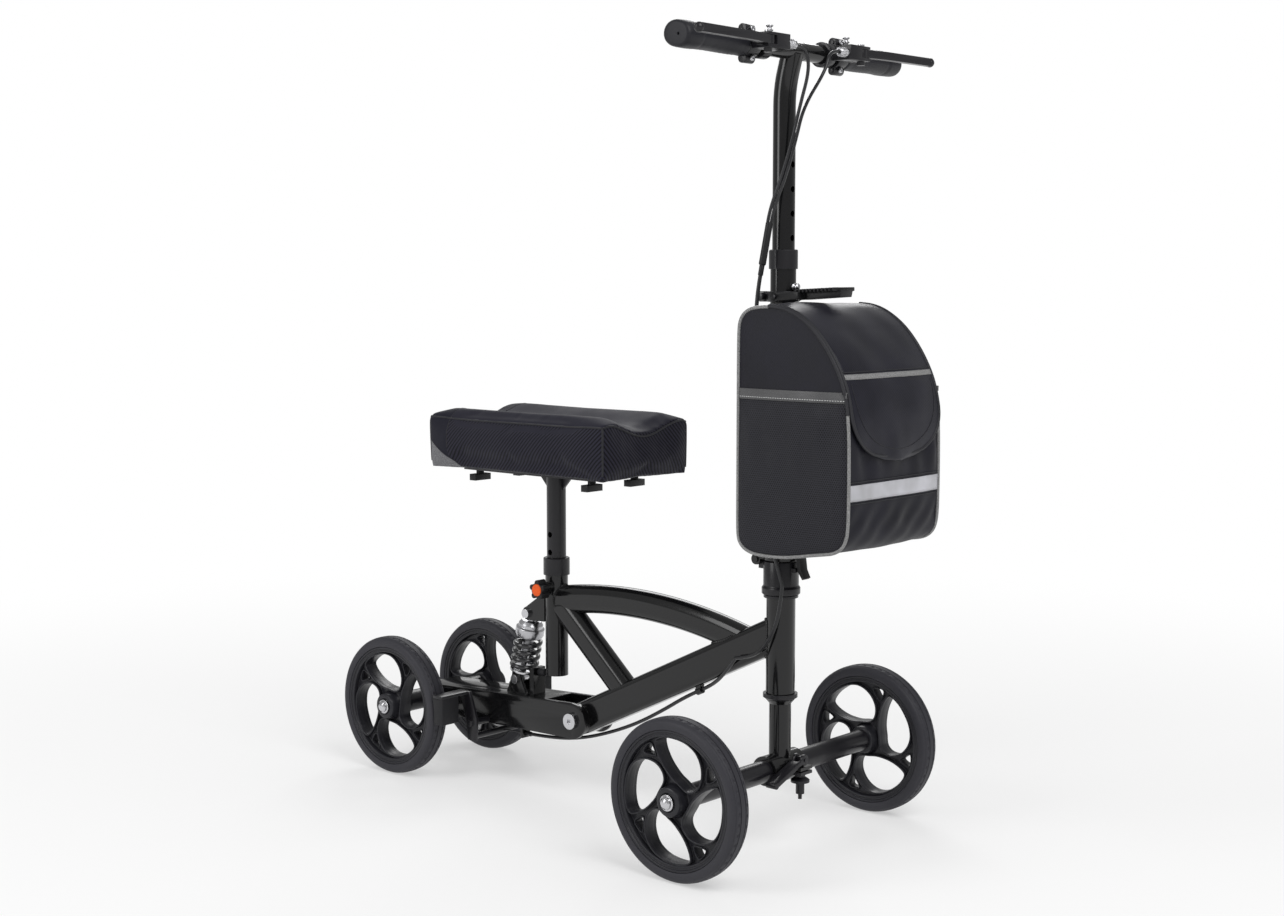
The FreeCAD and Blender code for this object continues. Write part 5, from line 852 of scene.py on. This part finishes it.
for side in (-1, 1):
    seams.append([laid_on(knee_pad,
                          Vector((axis_x - 0.5188, side * 0.13, pad_low.z + 0.030 + 0.043 * n / 10)),
                          (0, -side, 0)) for n in range(11)])
    seams.append([laid_on(knee_pad, Vector((axis_x - 0.5635 + 0.062 * n / 12, side * 0.13,
                                            0.4955 - corner_slope * 0.062 * n / 12)), (0, -side,
                                                                                       0)) for n in range(13)])
seams.append([laid_on(knee_pad, Vector((axis_x - 0.5188, -0.084 + 0.168 * n / 28, pad_high.z + 0.03)),
                      (0, 0, -1)) for n in range(29)])
seams = [[place for place in seam if place is not None] for seam in seams]
cord_along("pad_seams", [seam for seam in seams if len(seam) > 4], 0.0006, binding_cloth, "seat")

# ---- bag -------------------------------------------------------------------------------------
# A sewn bag on the column: a long strip of proofed nylon wraps from the back round the bottom,
# front and top, and two side panels close it. Grey reflective piping covers those seams.

bag_outline = [
    (6, 408), (6, 470), (6, 560), (6, 658), (8, 671), (15, 679.5), (26, 684), (38, 685), (58, 686),
    (84, 681), (112, 664), (134, 640), (151, 613), (161, 590), (166, 565), (168, 536), (168.5, 500),
    (168.5, 460), (168, 428), (165, 413), (159, 405), (149, 399.5), (136, 397.5), (110, 393.5),
    (82, 388.5), (54, 387), (28, 388), (15, 393), (8, 400),
]


def smooth_line(points, count, closed):
    """Places at even steps along a smooth line through a list of corner points."""
    curve = new_curve("guide", 0, 0, 16, caps=False)
    add_line(curve, "NURBS", points, closed)
    holder = bpy.data.objects.new("guide", curve)
    mesh = bpy.data.meshes.new_from_object(holder)
    dense = [vertex.co.copy() for vertex in mesh.vertices]
    if closed:
        dense.append(dense[0])
    bpy.data.objects.remove(holder)
    bpy.data.meshes.remove(mesh)
    total = sum((after - here).length for here, after in zip(dense, dense[1:]))
    steps = count if closed else count - 1
    places, gone, number = [], 0.0, 0
    for step in range(count):
        wanted = total * step / steps
        while number < len(dense) - 2 and gone + (dense[number + 1] - dense[number]).length < wanted:
            gone += (dense[number + 1] - dense[number]).length
            number += 1
        stretch = (dense[number + 1] - dense[number]).length
        places.append(dense[number].lerp(dense[number + 1], (wanted - gone) / max(stretch, 1e-9)))
    return places


rings = 240
outline = smooth_line([by_axis(px, 0, pz) for px, pz in bag_outline], rings, True)
bag_centre = sum(outline, Vector()) / rings
outward = []
for number in range(rings):
    along = outline[(number + 1) % rings] - outline[number - 1]
    normal = Vector((along.z, 0, -along.x)).normalized()
    outward.append(normal if normal.dot(outline[number] - bag_centre) > 0 else -normal)


bag_half = 0.095


def fold(place, y):
    """How far the strip stands out or sinks, in metres: sag, and creases at the front."""
    x = (place.x - axis_x) * 1000
    z = place.z * 1000
    across = y / bag_half
    front = min(max((x - 120) / 30, 0), 1)
    crown = 0.0028 * (1 - across ** 4) * front
    under_flap = front * max(0.0, 1 - abs(z - 512) / 42)
    crease = under_flap * (0.0034 * cos(across * 6.4 + 0.9) ** 3
                           + 0.0012 * cos(across * 15 + (z - 500) * 0.045))
    low = front * max(0.0, 1 - abs(z - 432) / 34)
    crease += low * 0.0013 * cos(across * 8 + (z - 430) * 0.11) * (1 - across ** 2)
    crease += low * 0.0010 * cos(across * 17 - (z - 430) * 0.16)
    ripple = noise.noise(Vector((x * 0.03, y * 24, z * 0.026))) * 0.0009
    ripple += noise.noise(Vector((x * 0.012, y * 14, z * 0.012))) * 0.0022
    return crown + crease + ripple * (1 - abs(across) ** 6)


columns = 44


def extruded(name, sections):
    """A new piece through rings of places, each ring extruded from the one before."""
    piece = ring_of(name, sections[0])
    for places in sections[1:]:
        bpy.ops.object.mode_set(mode="EDIT")
        bpy.ops.mesh.select_mode(type="EDGE")
        bpy.ops.mesh.extrude_region_move(TRANSFORM_OT_translate={"value": (0, 0, 0)})
        bpy.ops.object.mode_set(mode="OBJECT")
        for vertex, place in zip(piece.data.vertices[-len(places):], places):
            vertex.co = place
    return piece


def strip_ring(across):
    """The places of one ring of the strip."""
    y = bag_half * across
    return [place + Vector((0, y, 0)) + out * fold(place, y) for place, out in zip(outline, outward)]


strip = extruded("bag_strip", [strip_ring(2 * column / columns - 1) for column in range(columns + 1)])
# the column passes through the back, so the strip is open there
keep_faces(strip, lambda face: face.center.x < axis_x + 0.0135 and abs(face.center.y) < 0.019
           and 0.40 < face.center.z < 0.670)
bpy.ops.mesh.delete(type="FACE")
bpy.ops.mesh.select_all(action="SELECT")
bpy.ops.mesh.normals_make_consistent(inside=False)
bpy.ops.object.mode_set(mode="OBJECT")
bpy.ops.object.shade_smooth()

# the two side panels: the seam line drawn in ring by ring to the middle, softly crowned
panels = []
inner = [1.0, 0.985, 0.96, 0.92, 0.87, 0.81, 0.74, 0.66, 0.57, 0.48, 0.38, 0.28, 0.18, 0.09, 0.03]


def panel_ring(side, share):
    """The places of one ring of a side panel, from its seam at 1 to its middle at 0."""
    places = []
    for spot in outline:
        place = bag_centre.lerp(spot, share)
        z = place.z * 1000
        bulge = 0.0045 * (1 - share ** 3)
        pocket = min(max((580 - z) / 24, 0), 1) * min(max((1 - share) / 0.06, 0), 1)
        x = (place.x - axis_x) * 1000
        gather = max(0.0, 1 - abs(z - 535) / 60) * (0.0013 * cos((x - 60) * 0.19 + (z - 540) * 0.02)
                                                   + 0.0011 * cos((x - 30) * 0.075 - (z - 540) * 0.035))
        soft = noise.noise(Vector((x * 0.022, side * 3.0, z * 0.016))) * 0.0020
        stands = bag_half + bulge + pocket * (0.0022 + gather) + soft * (1 - share)
        places.append(place + Vector((0, side * stands, 0)))
    return places


for side in (-1, 1):
    side_panel = extruded("side_panel", [panel_ring(side, share) for share in inner])
    bpy.ops.object.mode_set(mode="EDIT")
    bpy.ops.mesh.select_mode(type="EDGE")
    bpy.ops.mesh.edge_face_add()
    bpy.ops.mesh.select_all(action="SELECT")
    bpy.ops.mesh.normals_make_consistent(inside=False)
    bpy.ops.object.mode_set(mode="OBJECT")
    bpy.ops.object.shade_smooth()
    panels.append(side_panel)
bag_body = joined("bag_shell_cloth", strip, *panels)
sealed(0.00005)
wall = bag_body.modifiers.new("wall", "SOLIDIFY")
wall.thickness = 0.0012
wall.offset = -1
bpy.ops.object.modifier_apply(modifier="wall")
side_mask = bag_body.data.attributes.new("side_panel", "FLOAT", "POINT")
for vertex in bag_body.data.vertices:
    side_mask.data[vertex.index].value = 1.0 if abs(vertex.co.y) > 0.0952 else 0.0

# proofed nylon: a fine plain weave with a soft shine, slightly uneven
nylon_group, given, result = new_group(
    "nylon_weave", [("Threads", 1700.0)], [("Height", "Float"), ("Uneven", "Float")])
spot = add(nylon_group, "TexCoord", {})
spot_parts = add(nylon_group, "SeparateXYZ", {"Vector": spot.outputs["Object"]})
flat_way = sums(nylon_group, (spot_parts.outputs["X"], 1.0), (spot_parts.outputs["Y"], 1.0))
waves = []
for socket in (flat_way, spot_parts.outputs["Z"]):
    scaled = add(nylon_group, "Math", {0: socket, 1: given["Threads"]},
                               operation="MULTIPLY")
    wave = add(nylon_group, "Math", {0: scaled.outputs["Value"]}, operation="SINE")
    waves.append(wave.outputs["Value"])
feed(nylon_group, result, {"Height": product(nylon_group, waves[0], waves[1])})
cloudy = add(nylon_group, "TexNoise", {"Scale": 26.0, "Detail": 4.0, "Vector": spot.outputs["Object"]})
feed(nylon_group, result, {"Uneven": cloudy.outputs["Fac"]})


def nylon(name, dark, light, roughness, sheen):
    """A nylon cloth material: returns it with its tree, shader, colour, height and place."""
    material, tree, shader = new_material(name)
    feed(tree, shader, {"Specular IOR Level": 0.22, "Sheen Weight": sheen})
    weave = add(tree, "Group", {}, node_tree=nylon_group)
    colour = blended(tree, step_mask(tree, weave.outputs["Uneven"], 0.25, 0.75), dark, light)
    gloss = add(tree, "MapRange", {"To Min": roughness[0], "To Max": roughness[1],
                                   "Value": weave.outputs["Uneven"]})
    feed(tree, shader, {"Roughness": gloss.outputs["Result"]})
    spot = add(tree, "TexCoord", {})
    return material, tree, shader, colour, weave.outputs["Height"], spot


bag_cloth, tree, shader, colour, weave, spot = nylon(
    "bag_cloth", (0.0045, 0.0045, 0.0080), (0.0100, 0.0098, 0.0165), (0.42, 0.60), 0.02)
spot_parts = add(tree, "SeparateXYZ", {"Vector": spot.outputs["Object"]})
x, y, z = (spot_parts.outputs[label] for label in "XYZ")
side = add(tree, "Attribute", {}, attribute_name="side_panel")
on_side = step_mask(tree, side.outputs["Fac"], 0.4, 0.6)
# the mesh pocket below the web band: round holes in a honeycomb, painted near black inside as painted shade
# behind the mesh
below = step_mask(tree, z, 0.5756, 0.5752)
in_pocket = product(tree, on_side, below)
hole_pitch = 0.0030
holes = []
for offset in (0.0, 0.5):
    cells = []
    for socket, pitch in ((x, hole_pitch), (z, 0.0052)):
        scaled = add(tree, "Math", {0: socket, 1: 1 / pitch, 2: offset}, operation="MULTIPLY_ADD")
        part = add(tree, "Math", {0: scaled.outputs["Value"]}, operation="FRACT")
        middle = add(tree, "Math", {0: part.outputs["Value"], 1: pitch / hole_pitch,
                                    2: -pitch / (2 * hole_pitch)},
                                   operation="MULTIPLY_ADD")
        cells.append(product(tree, middle.outputs["Value"], middle.outputs["Value"]))
    holes.append(sums(tree, (cells[0], 1.0), (cells[1], 1.0)))
nearest = add(tree, "Math", {0: holes[0], 1: holes[1]}, operation="MINIMUM")
mesh_thread = step_mask(tree, nearest.outputs["Value"], 0.06, 0.13)
# painted shade: near black inside the holes, lighter threads between them
netting_with_painted_hole_shade = blended(tree, mesh_thread, (0.0006, 0.0006, 0.0012), (0.021, 0.021, 0.028))
colour = blended(tree, in_pocket, colour, netting_with_painted_hole_shade)
feed(tree, shader, {"Base Color": colour})
pocket_height = product(tree, mesh_thread, in_pocket)
raised(tree, shader, sums(tree, (weave, 0.15), (pocket_height, 1.0)), 0.5, 0.0005)
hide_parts("bag_shell")
made_of(bag_body, bag_cloth, "column")

# grey reflective piping, a black binding over the lid's seams, and the column's two webbing loops
reflective, tree, shader = new_material("reflective_tape")
spot = add(tree, "TexCoord", {})
beads = add(tree, "TexNoise", {"Scale": 900.0, "Detail": 3.0, "Vector": spot.outputs["Object"]})
feed(tree, shader, {"Base Color": blended(tree, step_mask(tree, beads.outputs["Fac"], 0.35, 0.65),
                                          (0.13, 0.13, 0.13), (0.30, 0.30, 0.30))})
grained(tree, shader, 0.34, 0.52)
raised(tree, shader, beads.outputs["Fac"], 0.35, 0.0004)


def along_seam(first, last, side, lift=0.0006):
    """Part of the side panel's seam, between two places counted along the outline."""
    return [outline[number % rings] + outward[number % rings] * lift + Vector((0, side * 0.0952, 0))
            for number in range(first, last, 3)]


def nearest_ring(px, pz):
    """The number of the outline's place nearest a point."""
    wanted = by_axis(px, 0, pz)
    return min(range(rings), key=lambda number: (outline[number] - wanted).length)


lid_start = nearest_ring(50, 686)
flap_end = nearest_ring(166, 560)
piping = []
bindings = []
for side in (-1, 1):
    # the outline runs up the back, over the top, down the front and back along the bottom
    piping.append(along_seam(flap_end, rings + lid_start + 1, side))
    bindings.append(along_seam(lid_start, flap_end + 1, side, 0.0012))
cord_along("bag_piping", piping, 0.0021, reflective, "column")
cord_along("bag_binding", bindings, 0.0024, binding_cloth, "column")


def ribbon(name, rows, material, body, thickness):
    """A flat strip through rows of places, with a little thickness."""
    clear_selection()
    across = len(rows[0])
    bpy.ops.mesh.primitive_grid_add(x_subdivisions=across - 1, y_subdivisions=len(rows) - 1, size=1)
    piece = bpy.context.object
    piece.name = name
    for vertex, place in zip(piece.data.vertices, [place for row in rows for place in row]):
        vertex.co = place
    piece.data.materials.append(material)
    cover = piece.modifiers.new("cover", "SOLIDIFY")
    cover.thickness = thickness
    cover.offset = 0
    bpy.ops.object.modifier_apply(modifier="cover")
    bpy.ops.object.shade_smooth()
    if body:
        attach(piece, body)
    return piece


def on_panel(x_mm, z_mm, side, lift):
    """A place on a side panel, a little above its cloth."""
    start = by_axis(x_mm, side * 140, z_mm)
    hit, place, _, _ = bag_body.ray_cast(start, Vector((0, -side, 0)))
    return (place if hit else by_axis(x_mm, side * 97, z_mm)) + Vector((0, side * lift, 0))


web_tape, tree, shader, colour, weave, spot = nylon(
    "web_tape", (0.075, 0.075, 0.077), (0.12, 0.12, 0.122), (0.6, 0.75), 0.05)
feed(tree, shader, {"Base Color": colour})
raised(tree, shader, weave, 0.5, 0.0004)
white_thread = hard_material("white_thread", (0.62, 0.62, 0.62), (0.7, 0.7, 0.7), (0.5, 0.6), grain=900.0)
for side, label in ((-1, "right"), (1, "left")):
    rows = [[on_panel(7.0 + 159.0 * n / 40, height, side, 0.0006) for n in range(41)]
            for height in (575.2, 578.5, 582.0, 585.2, 588.0)]
    ribbon("web_band_" + label, rows, web_tape, "column", 0.0014)
    dashes = []
    for n in range(44):
        left = 9.0 + 155.0 * n / 44
        dashes.append([on_panel(left + part * 1.1, 578.2, side, 0.0013) for part in range(3)])
    cord_along("web_stitching_" + label, dashes, 0.00036, white_thread, "column")


def on_front(across, z_mm, lift):
    """A place on the front of the strip, a little above its cloth."""
    start = by_axis(230, across, z_mm)
    hit, place, _, _ = bag_body.ray_cast(start, Vector((-1, 0, 0)))
    return (place if hit else by_axis(168, across, z_mm)) + Vector((lift, 0, 0))


silver_band, tree, shader = new_material("silver_band")
spot = add(tree, "TexCoord", {})
beads = add(tree, "TexNoise", {"Scale": 1200.0, "Vector": spot.outputs["Object"]})
cloudy = add(tree, "TexNoise", {"Scale": 30.0, "Vector": spot.outputs["Object"]})
silver = blended(tree, step_mask(tree, cloudy.outputs["Fac"], 0.3, 0.7),
                 (0.40, 0.40, 0.42), (0.56, 0.56, 0.60))
feed(tree, shader, {"Base Color": silver})
grained(tree, shader, 0.3, 0.45)
raised(tree, shader, beads.outputs["Fac"], 0.2, 0.0003)
rows = [[on_front(-93.0 + 186.0 * n / 60, height, 0.0006) for n in range(61)]
        for height in (461.0, 465.0, 470.5, 476.0, 480.0)]
ribbon("silver_stripe", rows, silver_band, "column", 0.0008)
cord_along("front_seams", [[on_front(-92.0 + 184.0 * n / 60, height, 0.0004) for n in range(61)]
                           for height in (483.5, 458.0)], 0.0007, binding_cloth, "column")

# the lid and its flap: one satin sheet from the top of the bag, over the front, to a rounded tip
satin_lid, tree, shader, colour, weave, spot = nylon(
    "satin_lid", (0.0060, 0.0060, 0.0110), (0.0125, 0.0123, 0.0205), (0.30, 0.44), 0.03)
feed(tree, shader, {"Base Color": colour})
raised(tree, shader, weave, 0.12, 0.0003)
tip, shoulder_z = nearest_ring(168.5, 505), nearest_ring(166, 566)
lid_half = 0.0925
lid_rows = []
for number in range(lid_start, tip + 1):
    spot = outline[number]
    half = lid_half
    if number > shoulder_z:
        share = (outline[shoulder_z].z - spot.z) / (outline[shoulder_z].z - outline[tip].z)
        half = lid_half * sqrt(max(0.0, 1 - share ** 2.3))
    lid_rows.append((number, max(half, 0.0015)))
lid_edge = ([], [])
rows = []
for number, half in lid_rows:
    row = []
    for n in range(41):
        u = 2 * n / 40 - 1
        y = u * half
        px = (outline[number].x - axis_x) * 1000
        pz = outline[number].z * 1000
        lower = min(max((600 - pz) / 60, 0), 1) * min(max((px - 120) / 30, 0), 1)
        puff = 0.0022 + 0.0024 * (1 - u ** 2) + 0.0026 * lower
        crease = noise.noise(Vector((px * 0.02, y * 20, pz * 0.02))) * 0.0012 * (1 - u ** 4)
        crease += lower * 0.0007 * cos(y * 70 + pz * 0.05) * (1 - u ** 2)
        row.append(outline[number] + outward[number] * (fold(outline[number], y) * (1 - 0.8 * lower)
                                                        + puff + crease)
                   + Vector((0, y, 0)))
    rows.append(row)
    lid_edge[0].append(row[0])
    lid_edge[1].append(row[-1])
lid = ribbon("bag_lid", rows, satin_lid, None, 0.0012)
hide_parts("bag_flap")
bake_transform(lid)
edge_route = lid_edge[0][::3] + lid_edge[1][::3][::-1]
edging = cord_along("lid_binding", [edge_route], 0.0023, binding_cloth)
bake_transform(edging)


def on_lid(across, z_mm, lift):
    """A place on the front of the flap, a little above its cloth."""
    start = by_axis(240, across, z_mm)
    hit, place, _, _ = lid.ray_cast(start, Vector((-1, 0, 0)))
    return (place if hit else by_axis(175, across, z_mm)) + Vector((lift, 0, 0))


rows = [[on_lid(-91.0 + 182.0 * n / 60, height, 0.0005) for n in range(61)]
        for height in (602.5, 605.5, 608.5)]
ribbon("flap_strip", rows, reflective, "bag_flap", 0.0009)
cord_along("flap_seam", [[on_lid(-91.0 + 182.0 * n / 60, 611.0, 0.0003) for n in range(61)]], 0.0008,
           binding_cloth, "bag_flap")
# a line of stitches 8 mm inside the flap's edge
stitch_line = []
for n in range(61):
    turn = pi * n / 60
    stitch_line.append(on_lid(-84.0 * cos(turn), 598.0 - 80.0 * abs(sin(turn)) ** 0.72, 0.0002))
cord_along("flap_stitching", [stitch_line], 0.0004, binding_cloth, "bag_flap")
softened("bag_straps", 0.0008, binding_cloth, "column")

# ---- brake cables ----------------------------------------------------------------------------
# Two lever cables run into a barrel behind the stem and one goes on, strapped behind the bag, past
# the fold, round the head tube to the arm: a black plastic jacket over a wound steel housing.

cable_jacket = hard_material("cable_jacket", (0.014, 0.014, 0.016), (0.03, 0.03, 0.033), (0.24, 0.36),
                             coat=0.2, grain=1400.0, bump=0.08)


def held_cable(name, route, diameter):
    """A cable on one smooth line, from a CAD route in millimetres."""
    curve = new_curve(name, diameter / 2000, 3, 10)
    add_line(curve, "NURBS", [by_axis(*spot) for spot in route])
    return made_of(as_mesh(curve), cable_jacket)


barrel_top = Vector((1, -30, 788))
barrel_bottom = Vector((-4, -38, 735))
line = (barrel_bottom - barrel_top).normalized()
apart = line.cross(Vector((1, -1, 0))).normalized() * 2.25
shared = [Vector((33, -9, 928)), Vector((27, -17, 885)), Vector((18, -25, 842)), barrel_top - line * 18,
          barrel_top]
right_run = [Vector((49, -46, bar_height)), Vector((49, -26, bar_height)), Vector((48, -13, 973))] \
    + [spot + apart for spot in shared]
left_run = [Vector((49, 46, bar_height)), Vector((49, 26, bar_height)), Vector((53, 13, 972))] \
    + [spot - apart for spot in shared]
lever_pair = joined("lever_cables_look", held_cable("right_run", right_run, 4.2),
                    held_cable("left_run", left_run, 4.2))
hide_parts("lever_cables")
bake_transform(lever_pair)
column_run = held_cable("column_cable_look", [
    barrel_bottom + line * 12, barrel_bottom + line * 42, (-9, -43, 640), (-6, -38, 585), (-3, -35, 530),
    (0, -33.5, 480), (1, -33.5, 435), (4, -32.5, 400), (14, -30, 372), (20, -24, 338)], 5.0)
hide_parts("column_cable")
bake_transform(column_run)
steering_run = held_cable("steering_cable_look", [
    (20, -24, 338), (17, -25, 305), (8, -26, 277), (-10, -26, 253), (-31, -24, 241), (-55, -22, 236)], 5.0)
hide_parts("steering_cable")
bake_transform(steering_run)
guide = Vector((-129, -4, 179.9))
way = Vector((1, 0, 0.4822)).normalized()
brake_run = held_cable("brake_run", [
    (-55, -22, 236), (-76, -17, 213), guide + way * 24, guide - way * 24, (-196, -2, 142), (-242, 0, 117),
    (-292, 0, 96), (-345, 0, 79), (-400, 0, 70), (-450, 0, 68)], 5.0)
end_barrel = held_cable("end_barrel", [(-446, 0, 68), (-452, 0, 68), (-460, 0, 68), (-466, 0, 68)], 7.0)
brake_line = joined("brake_cable_look", brake_run, end_barrel)
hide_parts("brake_cable")
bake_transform(brake_line)
brake_wire = held_cable("brake_wire", [(-464, 0, 68), (-478, 0, 67.4), (-492, 0, 66.6), (-500.4, 0, 66)], 2.0)
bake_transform(brake_wire)


# ---- grips -----------------------------------------------------------------------------------
# Soft rubber over the ends of the bar: a round barrel that swells into a flat palm rest behind,
# with a raised ring round the working part, fine ribs in it, and a small hole in the end.

bar_x = 12.0
grip_rubber = hard_material("grip_rubber", (0.012, 0.012, 0.016), (0.03, 0.03, 0.036), (0.40, 0.54),
                            grain=1300.0, bump=0.22, radius=0.001)


def grip_ring(along, radius, rest):
    """One ring of a grip: round, drawn out behind and below into the rest."""
    places = []
    for step in range(40):
        turn = 2 * pi * step / 40
        reach = radius
        back = max(0.0, -cos(turn + 0.25))
        reach += rest * back ** 1.6
        places.append(by_axis(bar_x + reach * cos(turn), along, bar_height
                              + reach * sin(turn) * (1 - 0.10 * rest / 9)))
    return places


for side, body in ((-1, "right_grip"), (1, "left_grip")):
    sections = [(100.2, 12.2, 0), (100.4, 14.6, 0), (101.5, 15.5, 0), (104, 15.7, 0), (107, 15.5, 0.5)]
    for step in range(22):
        along = 110 + step * 3.6
        share = step / 21
        rest = 9.0 * min(1.0, max(0.0, (share - 0.18) / 0.6)) ** 1.3
        groove = -0.28 if step % 2 else 0.22
        sections.append((along, 15.2 + 1.2 * share + groove, rest))
    sections += [(188, 16.3, 9.2), (190.5, 17.1, 9.6), (193, 17.3, 9.7), (200, 17.2, 9.6), (207, 17.0, 9.0),
                 (212, 16.6, 8.4), (215, 15.8, 7.6), (216.6, 14.2, 6.6), (217, 12.0, 5.5), (217, 5.0, 1.5),
                 (217, 2.0, 0), (216.4, 1.5, 0), (210, 1.5, 0)]
    grip = extruded(body + "_look",
                    [grip_ring(side * along, radius, rest) for along, radius, rest in sections])
    sealed(0.00001)
    bpy.ops.object.shade_smooth_by_angle(angle=radians(50))
    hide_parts(body)
    made_of(grip, grip_rubber, "handlebar")
